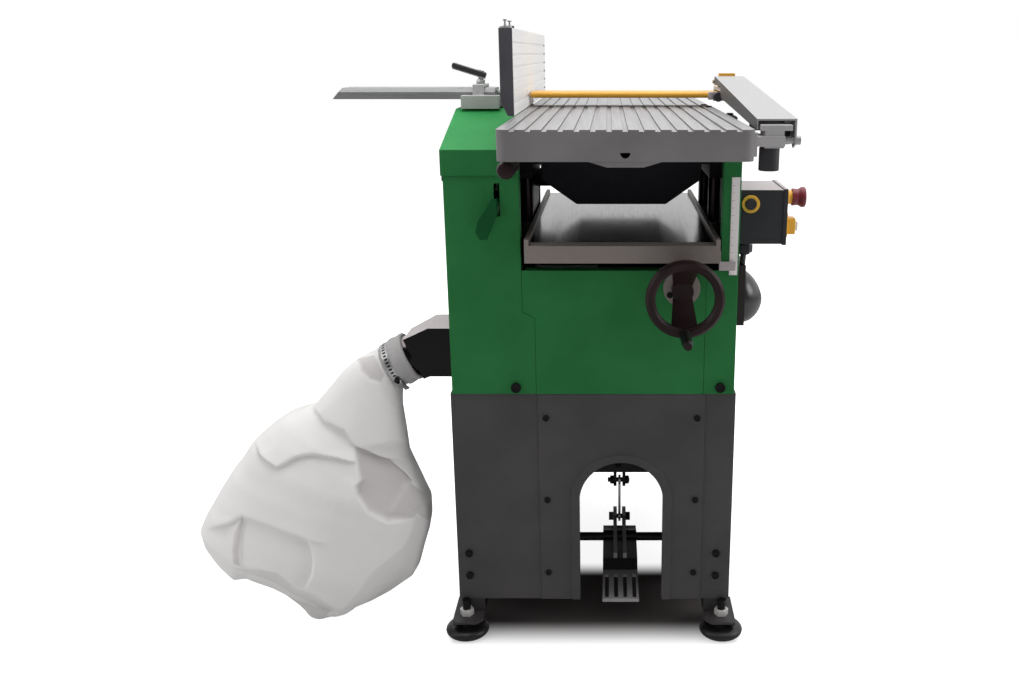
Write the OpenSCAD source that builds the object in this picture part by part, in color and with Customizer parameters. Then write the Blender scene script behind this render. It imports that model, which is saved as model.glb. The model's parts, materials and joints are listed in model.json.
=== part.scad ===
// Combination planer thicknesser on a floor stand, with chip bag.
// Millimetres, +Z up. The pieces are written about the cutterblock axis: x = 0 is the middle of the
// tables, y = 0 is the cutterblock axis, z = 0 is the floor. place() moves them so that the
// origin lies under the middle of the whole machine.

/* [Tables] */
// Height of the outfeed table above the floor
table_z = 760; // [755:1:790]
// Width of both planing tables
table_w = 280; // [276:1:284]
// Length of each planing table
table_len = 497; // [480:1:560]
// Height of the table rim
table_h = 34; // [30:1:36]
// Thickness of the table plate
table_skin = 10; // [8:0.5:12]
// Thickness of the table rim and ribs
table_wall = 8; // [6:0.5:10]
// Radius of the outer table corners
table_corner = 12; // [6:1:20]
// Gap between the two table lips
lip_gap = 36; // [35:1:42]
// Spacing of the table grooves
groove_pitch = 17.5; // [16:0.5:22]
// Width of a table groove
groove_w = 6; // [3:0.5:8]
// Depth of a table groove
groove_d = 2; // [1:0.25:3]
// Rest setting of the infeed table below the outfeed table
infeed_drop = 1; // [0.5:0.25:2]

/* [Cutterblock and rollers] */
// Diameter of the cutterblock
block_d = 50; // [46:1:52]
// Height of the knife edges above the block
knife_out = 2; // [1:0.25:2.5]
// Thickness of a knife
knife_t = 3; // [2:0.5:4]
// Number of knives
knife_n = 3; // [2:1:4]
// Diameter of the cutterblock shaft
cutter_shaft_d = 20; // [16:1:22]
// Outer diameter of the cutterblock bearings
bearing_d = 42; // [36:1:44]
// Diameter of the feed rollers
roller_d = 30; // [26:1:32]
// Distance of the feed rollers from the cutterblock axis
roller_y = 62; // [58:1:66]

/* [Thicknesser bed] */
// Width of the thicknesser bed
bed_w = 262; // [256:1:264]
// Length of the thicknesser bed
bed_len = 510; // [480:1:540]
// Distance of the bed's front edge from the cutterblock axis
bed_front = 290; // [285:1:300]
// Height of the bed at its lowest setting
bed_z = 595; // [590:1:600]
// Height of the bed rim
bed_h = 27; // [22:1:28]
// Thickness of the bed plate
bed_skin = 10; // [8:0.5:12]
// Height of the raised side rims of the bed
rim_h = 5; // [3:0.5:8]
// Diameter of the guide columns
column_d = 18; // [16:0.5:19]
// Sideways place of the guide columns
column_x = 142; // [141.5:0.5:143]
// Lengthways place of the guide columns
column_y = 80; // [76:1:84]
// Diameter of the lifting screw
screw_d = 20; // [16:1:24]
// Lengthways place of the lifting screw, in front of the cutterblock axis
screw_y = 90; // [88:1:94]

/* [Body] */
// Left side of the body
body_left = 238; // [236:1:250]
// Right side of the body
body_right = 158; // [157:1:160]
// Front of the body
body_front = 275; // [270:1:280]
// Back of the body
body_rear = 235; // [230:1:250]
// Height of the stand under the body
body_z = 378; // [370:1:380]
// Thickness of the body sheet
sheet = 2; // [1.5:0.25:2.5]
// Top of the front and back panels
panel_z = 555; // [545:1:558]
// Height of the left cover's front edge
cover_low_z = 717; // [710:1:730]
// Lower edge of the left cover's skirt
cover_skirt_z = 683; // [670:1:690]
// Length of each sloping end of the left cover
cover_slope = 164; // [140:1:170]
// Diameter of the motor
motor_d = 98; // [90:1:99]
// Height of the motor axis
motor_z = 457; // [455:1:460]
// Diameter of the motor pulley
motor_pulley_d = 72; // [66:1:80]
// Diameter of the cutterblock pulley
cutter_pulley_d = 48; // [44:1:50]

/* [Stand] */
// Height of the stand's lower edge
stand_clear = 54; // [48:1:60]
// Thickness of the stand sheet
stand_sheet = 2.5; // [2:0.25:3]
// Width of the end panels
end_w = 236; // [228:1:240]
// Width of the arch in the end panels
arch_w = 121; // [100:1:130]
// Top of the arch
arch_top = 274; // [260:1:290]
// Diameter of the foot pads
pad_d = 64; // [50:1:70]
// Height of the foot pads
pad_h = 18; // [12:1:18]
// Diameter of the foot studs
stud_d = 12; // [10:1:14]

/* [Pedal] */
// Diameter of the transport wheels
wheel_d = 125; // [110:1:130]
// Width of a transport wheel
wheel_w = 32; // [25:1:40]
// Diameter of the wheel axle
axle_d = 14; // [12:0.5:16]
// Width of the pedal
pedal_w = 55; // [48:1:64]
// Lengthways reach of the pedal
pedal_reach = 262; // [255:1:285]
// Diameter of the link pins
pin_d = 8; // [6:0.5:10]

/* [Fence] */
// Height of the fence
fence_h = 108; // [90:1:130]
// Length of the fence
fence_len = 640; // [560:1:700]
// Distance of the fence's front end from the cutterblock axis
fence_front = 293; // [280:1:300]
// Thickness of the fence
fence_t = 17; // [14:0.5:18]
// Length of the fence slide bar
bar_len = 237; // [210:1:260]
// Width of the fence slide bar
bar_w = 60; // [50:1:70]
// Height of the fence slide bar
bar_h = 16; // [12:0.5:17]

/* [Guard] */
// Length of the guard blade
blade_len = 323; // [318:1:324]
// Width of the guard blade
blade_w = 90; // [80:1:96]
// Thickness of the guard blade
blade_t = 8; // [6:0.5:9]
// Height of the blade above the table
blade_gap = 13; // [12:0.5:14]
// Width of the guard arm
arm_w = 45; // [44:0.5:50]

/* [Controls] */
// Diameter of the handwheel over its rim
handwheel_d = 103; // [90:1:120]
// Sideways place of the handwheel
handwheel_x = 81; // [78:1:84]
// Height of the handwheel axis
handwheel_z = 532; // [530:1:534]
// Diameter of the emergency stop head
stop_d = 30; // [26:1:34]
// Reach of the emergency stop head
stop_x = 272; // [268:1:276]

/* [Chip bag] */
// Width of the chip duct
duct_w = 78; // [60:1:82]
// Height of the chip duct
duct_h = 70; // [60:1:74]
// Outer diameter of the duct's round end
spigot_d = 60; // [54:1:64]
// Left side of the bag
bag_reach = 621; // [600:1:640]
// Height of the bag's lowest point
bag_low = 11; // [6:1:20]

/* [Hidden] */
$fn = 48;

green = "#1f6b35";
dark_grey = "#383636";
black = "#1c1a1c";
iron = "#8d8f90";
steel = "#b4b6b8";
yellow = "#e0a020";
red = "#8c1a22";
cloth = "#cfcdcb";
belt_black = "#202022";

eps = 1;
run = 0.3;
shaft_run = 0.1;
mid_x = (stop_x - bag_reach) / 2;

knife_r = block_d / 2 + knife_out;
cutter_z = table_z - knife_r;
knife_gap = 3;
rim_z = table_z - table_h;
table_front = -lip_gap / 2 - table_len;

head_in = bed_w / 2;
head_t = 24;
head_y = 112;
head_low = rim_z - 66;
head_out = head_in + head_t;
tie_t = 8;
tie_low = rim_z - 22;
tie_high = rim_z - 5;
roller_z = cutter_z - knife_r - 1 + roller_d / 2;
finger_z = roller_z - 4;
journal_d = 16;
roller_room = 4;
rail_w = 12;
rail_t = 4;
rail_z = rim_z - 45;

body_floor = 8;
seam_z = 497;
panel_right = 115;
knob_y = 90;
knob_z = rim_z - 21;
knob_shaft_d = 12;
lock_x = -table_w / 2 + 6;
lock_y = table_front + 130;
lock_z = rim_z - 14;
lock_shaft_d = 10;
finger_y = -93;
finger_rod = 10;
lever_x = -167;
lever_y = -215;
lever_z = 651;
lever_pin_d = 8;
post_x = 90;
bush_d = 31.6;
deck_z = body_z + body_floor;
open_left = 136;
open_right = 134;
seam_foot = open_left - 16;
rear_left = 144;
rear_right = 146;
seam_gap = 0.4;
wall_top = rim_z - 4;

stand_step = 3;
stand_x0 = -body_left - stand_step;
stand_x1 = body_right + stand_step;
stand_y0 = -body_front + stand_step;
stand_y1 = body_rear - stand_step;
lap = 21;

link_y = -30;
link_z = 139;
low_pin_y = -34;
low_pin_z = 73;
wheel_gap = 0.5;
axle_y = -90;
axle_z = wheel_d / 2 + wheel_gap;
wheel_x = [-180, 100];

motor_y = -20;
motor_top = motor_z + 61;
motor_shaft_d = 20;
pulley_x0 = -213;
pulley_x1 = -195;
fan_x0 = -192;
fan_x1 = -160;
fan_r = 68;
fan_run = 4;
belt_w = 10;
belt_t = 7.5;
groove_run = 0.4;

hood_front = 150;
hood_back = 110;
hood_low = bed_z + 32;
hood_floor = 65;
hood_side = 116;
hood_slope = 36;
hood_t = 3;
hood_top = rail_z + rail_t + seam_gap + hood_t;

fence_x = -table_w / 2 + 1;
fence_low = table_z + 1 + run;
hinge_x = fence_x - fence_t - 6.5;
hinge_z = table_z + 7;
bar_z = table_z + 14;
bar_y = -80;
bar_x1 = hinge_x - 20.5;
clamp_x = bar_x1 - 24;

blade_z = table_z + blade_gap;
blade_x0 = fence_x + 3;
arm_x0 = table_w / 2 + 6;
arm_t = 2;
arm_pivot_y = table_front + 49;
arm_pivot_z = table_z - 15;
carrier_z = blade_z + blade_t + 15;

box_x1 = 242;
box_y0 = -154;
box_y1 = -44;
box_z0 = 569;
box_z1 = 648;
stop_z = 634;
start_z = 592;
reset_x = 188;
reset_z = 628;
button_y = -125;
gland_x = 192;
gland_y = -70;

duct_y = -230;
duct_z = 437;
duct_x = -269;
spigot_tilt = 26.6;
spigot_len = 66;
cuff_len = 36;
bag_y = -245;

module place() translate([-mid_x, 0, 0]) children();

// A block between two corners
module block(x0, x1, y0, y1, z0, z1)
    translate([x0, y0, z0]) cube([x1 - x0, y1 - y0, z1 - z0]);

// Round bars along each axis
module rod_x(x0, x1, y, z, d) translate([x0, y, z]) rotate([0, 90, 0]) cylinder(d = d, h = x1 - x0);
module rod_y(y0, y1, x, z, d) translate([x, y0, z]) rotate([-90, 0, 0]) cylinder(d = d, h = y1 - y0);
module rod_z(z0, z1, x, y, d) translate([x, y, z0]) cylinder(d = d, h = z1 - z0);

// Plates drawn as (y, z) or (x, z) outlines
module yz_plate(x0, x1) translate([x0, 0, 0]) rotate([90, 0, 90]) linear_extrude(x1 - x0) children();
module xz_plate(y0, y1) translate([0, y1, 0]) rotate([90, 0, 0]) linear_extrude(y1 - y0) children();

// The same piece on both sides of the tables
module both_sides() {
    children();
    mirror([1, 0, 0]) children();
}

// Stand

module stand_side(x_out, way) {
    flange = abs(x_out) - end_w / 2 + lap;
    guide_t = 10;
    guide_w = 44;
    guide_low = 36;
    guide_high = 96;
    translate([x_out, 0, 0]) mirror([way < 0 ? 1 : 0, 0, 0]) {
        block(-stand_sheet, 0, stand_y0, stand_y1, stand_clear, body_z);
        block(-flange, 0, stand_y0, stand_y0 + stand_sheet, stand_clear, body_z);
        block(-flange, 0, stand_y1 - stand_sheet, stand_y1, stand_clear, body_z);
        block(-25, 0, stand_y0, stand_y1, body_z - stand_sheet, body_z);
        difference() {
            block(-stand_sheet - guide_t, -stand_sheet + 0.01, axle_y - guide_w / 2,
                axle_y + guide_w / 2,
                  guide_low, guide_high);
            for (z = [axle_z - 10, axle_z])
                rod_x(-stand_sheet - guide_t - eps, -stand_sheet, axle_y, z, axle_d + 2);
            block(-stand_sheet - guide_t - eps, -stand_sheet, axle_y - axle_d / 2 - 1,
                axle_y + axle_d / 2 + 1,
                  axle_z - 10, axle_z);
        }
    }
}

module stand_side_panels() color(dark_grey) place() {
    stand_side(stand_x0, -1);
    stand_side(stand_x1, 1);
}

module arch_shape(grow) {
    r = arch_w / 2 + grow;
    spring = arch_top - arch_w / 2;
    translate([0, spring]) circle(r = r);
    translate([-r, stand_clear - eps]) square([2 * r, spring - stand_clear + eps]);
}

module end_panel() {
    bead_w = 12;
    bead_h = 2;
    lip = 12;
    xz_plate(-stand_sheet, 0) difference() {
        translate([-end_w / 2, stand_clear]) square([end_w, body_z - stand_clear]);
        arch_shape(0);
    }
    xz_plate(-stand_sheet - bead_h, -stand_sheet + 0.01) difference() {
        intersection() {
            arch_shape(bead_w);
            translate([-end_w / 2, stand_clear]) square([end_w, body_z]);
        }
        arch_shape(0);
    }
    xz_plate(-0.01, lip) intersection() {
        difference() {
            arch_shape(stand_sheet);
            arch_shape(0);
        }
        translate([-end_w / 2, stand_clear]) square([end_w, body_z]);
    }
}

module stand_end_panels() color(dark_grey) place() {
    translate([0, stand_y0, 0]) end_panel();
    translate([0, stand_y1, 0]) mirror([0, 1, 0]) end_panel();
}

module bolt_head(x, y, z, d, h, way) rod_y(way < 0 ? y - h : y, way < 0 ? y : y + h, x, z, d);

module fasteners() color(black) place() {
    panel_x = end_w / 2 - 11;
    for (x = [-panel_x, panel_x], z = [body_z - 36, (stand_clear + body_z) / 2, stand_clear + 45]) {
        bolt_head(x, stand_y0 - stand_sheet, z, 9, 3, -1);
        bolt_head(x, stand_y1 + stand_sheet, z, 9, 3, 1);
    }
    for (x = [stand_x0 + 17, stand_x1 - 21], z = [stand_clear + 39, stand_clear + 75]) {
        bolt_head(x, stand_y0, z, 11, 4, -1);
        bolt_head(x, stand_y1, z, 11, 4, 1);
    }
    for (x = [-open_left - 12, open_right + 4]) {
        bolt_head(x, -body_front, body_z + 10, 14, 5, -1);
        bolt_head(x, body_rear, body_z + 10, 14, 5, 1);
    }
}

foot_z = 28;
foot_t = 4;
foot_out = 9;
foot_w = 45;
foot_over = 8;
stud_in = 19;

module foot_corner() {
    leg_x = foot_over + stand_sheet + run;
    nut_h = 9;
    difference() {
        union() {
            translate([0, 0, foot_z]) linear_extrude(foot_t) polygon([
                [-foot_w, 40], [-foot_w, -22], [-foot_w + 10, -33], [-6, -33], [0, -25], [0, 40]
            ]);
            block(-foot_w, -leg_x, 0, foot_t, foot_z, stand_clear + 96);
            block(-3, 0, -24, 40, foot_z - 8, foot_z + 0.01);
        }
        rod_z(foot_z - eps, foot_z + foot_t + eps, -stud_in, -foot_out, stud_d + 0.6);
    }
    rod_z(pad_h - 8, foot_z + 28, -stud_in, -foot_out, stud_d);
    difference() {
        for (z = [foot_z - nut_h, foot_z + foot_t])
            translate([-stud_in, -foot_out, z]) cylinder(d = stud_d * 1.75, h = nut_h, $fn = 6);
        rod_z(0, foot_z + 40, -stud_in, -foot_out, stud_d);
    }
}

module foot_places() {
    y_in = stand_y0 + stand_sheet;
    y_back = stand_y1 - stand_sheet;
    translate([stand_x1 + foot_over, y_in, 0]) children();
    translate([stand_x0 - foot_over, y_in, 0]) mirror([1, 0, 0]) children();
    translate([stand_x1 + foot_over, y_back, 0]) mirror([0, 1, 0]) children();
    translate([stand_x0 - foot_over, y_back, 0]) mirror([1, 0, 0]) mirror([0, 1, 0]) children();
}

module foot_brackets() color(steel) place() foot_places() foot_corner();

module foot_pads() color(black) place() foot_places() translate([-stud_in, -foot_out, 0]) difference() {
    rotate_extrude() polygon(concat(
        [[0, 0]],
        [for (a = [-90 : 15 : 90]) [pad_d / 2 - 12 + 12 * cos(a), (pad_h - 2) / 2 * (1 + sin(a))]],
        [[stud_d / 2 + 5, pad_h], [0, pad_h]]
    ));
    translate([0, 0, pad_h - 8]) cylinder(d = stud_d, h = 8 + eps);
}

// Pedal and transport wheels

module pedal_crossmember() color(black) place() {
    low = link_z + 22;
    high = low + 34;
    wall = 4;
    ear_in = 5;
    ear_t = 5;
    difference() {
        block(stand_x0 + stand_sheet, stand_x1 - stand_sheet, link_y - 20, link_y + 20, low, high);
        block(stand_x0, stand_x1, link_y - 20 + wall, link_y + 20 - wall, low + wall, high + eps);
    }
    both_sides() difference() {
        union() {
            block(ear_in, ear_in + ear_t, link_y - 11, link_y + 11, link_z, low + 0.01);
            rod_x(ear_in, ear_in + ear_t, link_y, link_z, 22);
        }
        rod_x(ear_in - eps, ear_in + ear_t + eps, link_y, link_z, pin_d + 2 * shaft_run);
    }
    rod_x(-20, 17, link_y, link_z, pin_d);
    both_sides() rod_x(ear_in + ear_t, 16, link_y, link_z, pin_d + 6);
}

module pedal_link() color(steel) place() {
    t = 4;
    eye = pin_d + 9;
    difference() {
        union() {
            rod_x(-t / 2, t / 2, link_y, link_z, eye);
            rod_x(-t / 2, t / 2, low_pin_y, low_pin_z, eye);
            yz_plate(-t / 2, t / 2) polygon([
                [link_y - 5, link_z], [link_y + 5, link_z], [low_pin_y + 5, low_pin_z],
                [low_pin_y - 5, low_pin_z]
            ]);
        }
        rod_x(-t, t, link_y, link_z, pin_d + 2 * run);
        rod_x(-t, t, low_pin_y, low_pin_z, pin_d + 2 * run);
    }
}

module pedal() color(dark_grey) place() {
    t = 5;
    ear_in = 4.5;
    ear_t = 6;
    back_y = axle_y + 28;
    back_z = axle_z + 6;
    bend_y = -165;
    bend_z = axle_z;
    tread_y = bend_y - 14;
    tread_z = bend_z - 13;
    slot_n = 4;
    slot_pitch = 14;
    slot_w = 6;
    difference() {
        union() {
            yz_plate(-pedal_w / 2, pedal_w / 2) polygon([
                [back_y, back_z], [bend_y, bend_z], [tread_y, tread_z], [-pedal_reach, tread_z - 3],
                [-pedal_reach, tread_z - 3 - t], [tread_y, tread_z - t], [bend_y, bend_z - t],
                [back_y, back_z - t]
            ]);
            rod_x(-pedal_w / 2, pedal_w / 2, axle_y, axle_z, axle_d + 10);
            both_sides() {
                yz_plate(ear_in, ear_in + ear_t) polygon([
                    [low_pin_y + 8, low_pin_z], [low_pin_y + 4, low_pin_z + 16],
                    [low_pin_y - 9, low_pin_z + 16], [low_pin_y - 15, low_pin_z + 8],
                    [axle_y + 10, axle_z + 14], [bend_y, bend_z + 9], [bend_y, bend_z - t],
                    [back_y, back_z - t], [low_pin_y, low_pin_z - 9]
                ]);
            }
        }
        rod_x(-pedal_w, pedal_w, axle_y, axle_z, axle_d + 2 * shaft_run);
        rod_x(-pedal_w, pedal_w, low_pin_y, low_pin_z, pin_d + 2 * shaft_run);
        for (i = [0 : slot_n - 1])
            translate([(i - (slot_n - 1) / 2) * slot_pitch - slot_w / 2, -pedal_reach + 5,
                tread_z - 20])
                cube([slot_w, 65, 40]);
    }
    rod_x(-18, 18, low_pin_y, low_pin_z, pin_d);
    both_sides() rod_x(ear_in + ear_t, 18, low_pin_y, low_pin_z, pin_d + 6);
}

module wheel_axle() color(black) place() {
    tip = 0.6;
    rod_x(stand_x0 + stand_sheet + tip, stand_x1 - stand_sheet - tip, axle_y, axle_z, axle_d);
    for (x = wheel_x, side = [-1, 1]) {
        inner = x + side * (wheel_w / 2 + run);
        difference() {
            rod_x(min(inner, inner + side * 6), max(inner, inner + side * 6), axle_y, axle_z,
                axle_d + 8);
            rod_x(x - 50, x + 50, axle_y, axle_z, axle_d);
        }
    }
}

module wheel(x) {
    r = wheel_d / 2;
    translate([x - wheel_w / 2, axle_y, axle_z]) rotate([0, 90, 0]) rotate_extrude() difference() {
        translate([axle_d / 2 + shaft_run, 0]) square([r - axle_d / 2 - shaft_run, wheel_w]);
        for (y = [-eps, wheel_w - 8]) translate([axle_d / 2 + 9, y]) square([r - axle_d / 2 - 24,
            8 + eps]);
        for (y = [0, wheel_w]) translate([r, y]) rotate(45) square(6, center = true);
    }
}

module wheel_left() color(black) place() wheel(wheel_x[0]);
module wheel_right() color(black) place() wheel(wheel_x[1]);

// Body

module base_frame() color(black) place() {
    edge = sheet + run;
    block(-body_left + edge, body_right - edge, -body_front + edge, body_rear - edge, body_z, deck_z);
    for (x = [-column_x, column_x], y = [-column_y, column_y])
        rod_z(deck_z - 0.01, head_low, x, y, column_d);
}

module head_side_shape() {
    translate([-head_y, head_low]) square([2 * head_y, rim_z - head_low - 4]);
    translate([-head_y, head_low]) square([head_y - 30, rim_z - head_low]);
    translate([0, cutter_z]) circle(d = bearing_d + 14);
}

module head_frame() color(black) place() {
    both_sides() difference() {
        union() {
            yz_plate(head_in, head_out) intersection() {
                head_side_shape();
                translate([-head_y, head_low]) square([2 * head_y,
                    table_z - table_skin - 1 - head_low]);
            }
            block(head_in - rail_w, head_in + 0.01, -head_y, head_y, rail_z, rail_z + rail_t);
        }
        rod_x(head_in - eps, head_out + eps, 0, cutter_z, bearing_d);
        for (y = [-roller_y, roller_y])
            rod_x(head_in - eps, head_out + eps, y, roller_z, journal_d + 2 * shaft_run);
        rod_x(head_in - eps, head_out + eps, knob_y, knob_z, knob_shaft_d + 2 * shaft_run);
    }
    for (y = [-head_y, head_y - tie_t])
        block(-head_in - 0.01, head_in + 0.01, y, y + tie_t, tie_low, tie_high);
    rod_x(-head_in - 0.01, head_in + 0.01, finger_y, finger_z, finger_rod);
    for (x = [-post_x, post_x]) rod_z(tie_high - 0.01, tie_high + 22, x, head_y - tie_t / 2, tie_t);
}

module left_housing() color(green) place() {
    top = cover_skirt_z + 17;
    difference() {
        union() {
            block(-body_left, -body_left + sheet, -body_front, body_rear, body_z, top);
            xz_plate(-body_front, -body_front + sheet) polygon([
                [-body_left, body_z], [-seam_foot, body_z], [-seam_foot, seam_z - 9],
                [-open_left - 1, seam_z],
                [-open_left - 1, top], [-body_left, top]
            ]);
            block(-open_left - 1 - sheet, -open_left - 1, -body_front, -body_front + 20, seam_z + 3,
                top);
            block(-body_left, -rear_left, body_rear - sheet, body_rear, body_z, top);
            for (x = [lever_x - 10, lever_x + 6]) difference() {
                block(x, x + 4, -body_front + sheet - 0.01, lever_y + 10, lever_z - 10, lever_z + 10);
                rod_x(x - eps, x + 5, lever_y, lever_z, lever_pin_d + 2 * run);
            }
        }
        block(lever_x - 4, lever_x + 4, -body_front - eps, -body_front + sheet + eps, lever_z - 22,
            lever_z + 22);
        block(-body_left - eps, -body_left + sheet + eps, duct_y - duct_w / 2 - run,
            duct_y + duct_w / 2 + run,
              duct_z - duct_h / 2 - run, duct_z + duct_h / 2 + run);
    }
}

module cover_side(inset, low) {
    front = -body_front - sheet - 0.5 + inset;
    back = body_rear + sheet + 0.5 - inset;
    top = table_z + 1 - inset;
    polygon([
        [front, low], [front, cover_low_z - inset * 0.4], [front + cover_slope, top],
        [back - cover_slope, top],
        [back, cover_low_z - inset * 0.4], [back, low]
    ]);
}

module left_top_cover() color(green) place() {
    x0 = -body_left - sheet - 0.5;
    x1 = -table_w / 2 - 2;
    difference() {
        yz_plate(x0, x1) cover_side(0, cover_skirt_z);
        yz_plate(x0 + sheet, x1 + eps) cover_side(sheet, cover_skirt_z - eps);
    }
}

module front_panel() color(green) place() {
    difference() {
        union() {
            xz_plate(-body_front, -body_front + sheet) polygon([
                [-seam_foot + seam_gap, body_z], [panel_right - seam_gap, body_z],
                [panel_right - seam_gap, panel_z],
                [-open_left - 1 + seam_gap, panel_z], [-open_left - 1 + seam_gap, seam_z + seam_gap],
                [-seam_foot + seam_gap, seam_z - 9 + seam_gap]
            ]);
            block(-open_left + 4, panel_right - 4, -body_front, -body_front + 24, panel_z - sheet,
                panel_z);
        }
        rod_y(-body_front - eps, -body_front + sheet + eps, handwheel_x, handwheel_z,
            bush_d + 2 * shaft_run);
    }
}

module rear_panel() color(green) place() {
    vent_n = 9;
    difference() {
        union() {
            block(-rear_left + seam_gap, rear_right - seam_gap, body_rear - sheet, body_rear,
                body_z, panel_z);
            block(-rear_left + 6, rear_right - 6, body_rear - 24, body_rear, panel_z - sheet, panel_z);
        }
        for (i = [0 : vent_n - 1])
            block(20, 100, body_rear - sheet - eps, body_rear + eps, motor_z - 40 + i * 10,
                motor_z - 36 + i * 10);
    }
}

module right_cover() color(green) place() {
    x0 = body_right - sheet;
    difference() {
        union() {
            block(x0, body_right, -body_front, body_rear, body_z, wall_top);
            block(panel_right, body_right, -body_front, -body_front + sheet, body_z, panel_z);
            block(open_right, body_right, -body_front, -body_front + sheet, body_z, wall_top);
            block(open_right, open_right + sheet, -body_front, -body_front + 20, panel_z + 5, wall_top);
            block(rear_right, body_right, body_rear - sheet, body_rear, body_z, wall_top);
        }
        rod_x(x0 - eps, body_right + eps, motor_y, motor_z, motor_d + 4);
        rod_x(x0 - eps, body_right + eps, knob_y, knob_z, knob_shaft_d + 2);
    }
}

module depth_scale() color("#dcdcd6") place()
    block(145, 156, -body_front - 0.8, -body_front, bed_z - 46, bed_z + 86);

// Thicknesser bed and lift

module bed_screw_shape(d) rod_z(bed_z - 155, bed_z - 15, 0, -screw_y, d);

module thicknesser_bed() color(iron) place() {
    w = bed_w / 2;
    back = bed_len - bed_front;
    wall = 8;
    low = bed_z - bed_h;
    lug_d = 26;
    rim_w = 6;
    pointer_y = -body_front - 4.6;
    difference() {
        union() {
            difference() {
                block(-w, w, -bed_front, back, low, bed_z);
                for (y = [-bed_front + wall, -screw_y + 40, 105])
                    block(-w + wall, w - wall, y,
                        y == 105 ? back - wall : y == -bed_front + wall ? -screw_y - 40 : 95,
                          low - eps, bed_z - bed_skin);
            }
            rod_z(low, bed_z - bed_skin + 0.01, 0, -screw_y, screw_d + 24);
            block(-w + 1, w - 1, -screw_y - 8, -screw_y + 8, low + 6, bed_z - bed_skin + 0.01);
            both_sides() {
                block(w - rim_w, w, -bed_front, back, bed_z - 0.01, bed_z + rim_h);
                for (y = [-column_y, column_y]) {
                    rod_z(low + 2, bed_z - 3, column_x, y, lug_d);
                    block(w - 1, column_x, y - 8, y + 8, low + 2, bed_z - 3);
                }
            }
        }
        for (x = [-column_x, column_x], y = [-column_y, column_y])
            rod_z(low, bed_z, x, y, column_d + 2 * run);
        bed_screw_shape(screw_d + 2 * shaft_run);
        yz_plate(-w + rim_w, w - rim_w) polygon([
            [-bed_front - 1, bed_z + 1], [-bed_front - 1, bed_z - 3.85], [-bed_front + 12.86, bed_z + 1]
        ]);
        yz_plate(-w + rim_w, w - rim_w) polygon([
            [back + 1, bed_z + 1], [back - 12.86, bed_z + 1], [back + 1, bed_z - 3.85]
        ]);
    }
    block(w, w + 1.5, -bed_front + 4, -bed_front + 26, low + 2, low + 16);
    block(w, body_right - 5, pointer_y, pointer_y + 2, low - 12, low);
    block(w, w + 1.5, pointer_y, pointer_y + 2, low - 12, low + 16);
}

module lift_screw() color(steel) place() bed_screw_shape(screw_d);

gear_z = handwheel_z - 14;
shaft_d = 14;

module lift_gearbox() color(iron) place() {
    bar_t = 12;
    difference() {
        union() {
            block(-column_x - 13, column_x + 13, -column_y - 16, -column_y + 16, gear_z - bar_t,
                gear_z);
            block(-34, handwheel_x + 20, -screw_y - 34, -screw_y + 32, gear_z - 0.01, gear_z + 33);
            rod_y(-screw_y - 42, -screw_y - 33, handwheel_x, handwheel_z, shaft_d + 12);
        }
        for (x = [-column_x, column_x]) rod_z(gear_z - 20, gear_z + 1, x, -column_y,
            column_d + 2 * shaft_run);
        rod_z(gear_z - 20, gear_z + 60, 0, -screw_y, screw_d + 2 * run);
        rod_y(-screw_y - 50, -screw_y + 12, handwheel_x, handwheel_z, shaft_d + 2 * shaft_run);
    }
    difference() {
        union() {
            rod_y(-body_front - 9, -body_front, handwheel_x, handwheel_z, 50);
            rod_y(-body_front - 1, -body_front + 10, handwheel_x, handwheel_z, bush_d);
            rod_y(-body_front - 11.5, -body_front - 8.99, handwheel_x - 16, handwheel_z - 9, 8);
        }
        rod_y(-body_front - 20, -body_front + 20, handwheel_x, handwheel_z, shaft_d + 2 * shaft_run);
    }
}

wheel_r = handwheel_d / 2 - 6.5;
rim_y = -body_front - 70;

rim_w = 13;
rim_t = 14;
rim_bevel = 3.5;

// Half of the dished arm pair between the hub and the rim
module wheel_arm(side, root_y) {
    root_z = 8;
    drop = rim_y - root_y;
    rise = wheel_r - root_z;
    reach = sqrt(drop * drop + rise * rise);
    translate([0, root_y, side * root_z]) rotate([atan2(side * rise, drop), 0, 0])
        linear_extrude(8, center = true)
            polygon([[-12.5, 0], [12.5, 0], [18, reach], [-18, reach]]);
}

module handwheel() color(black) place() {
    hub_y = -body_front - 30;
    hub_len = 18;
    pin_len = 66;
    rod_y(hub_y + 2, -screw_y + 10, handwheel_x, handwheel_z, shaft_d);
    translate([handwheel_x, 0, handwheel_z]) {
        rod_y(hub_y, hub_y + hub_len, 0, 0, 29);
        translate([0, rim_y, 0]) rotate([90, 0, 0]) rotate_extrude() translate([wheel_r, 0]) polygon([
            [-rim_w / 2, -rim_t / 2 + rim_bevel], [-rim_w / 2 + rim_bevel, -rim_t / 2],
            [rim_w / 2 - rim_bevel, -rim_t / 2], [rim_w / 2, -rim_t / 2 + rim_bevel],
            [rim_w / 2, rim_t / 2 - rim_bevel], [rim_w / 2 - rim_bevel, rim_t / 2],
            [-rim_w / 2 + rim_bevel, rim_t / 2], [-rim_w / 2, rim_t / 2 - rim_bevel]
        ]);
        for (side = [-1, 1]) wheel_arm(side, hub_y + 12);
        rod_y(rim_y - pin_len, rim_y, 0, -wheel_r, 6);
        rod_y(rim_y - pin_len, rim_y - pin_len + 3.5, 0, -wheel_r, 10);
    }
}

module handwheel_grip() color(black) place() translate([handwheel_x, rim_y, handwheel_z - wheel_r])
    rotate([90, 0, 0]) rotate_extrude() polygon([
        [3 + run, rim_t / 2 + run], [7, rim_t / 2 + run], [7.5, 20], [7.2, 50], [6.4, 59], [5.4, 62],
        [3 + run, 62]
    ]);

// Drive and chip blower

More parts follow.
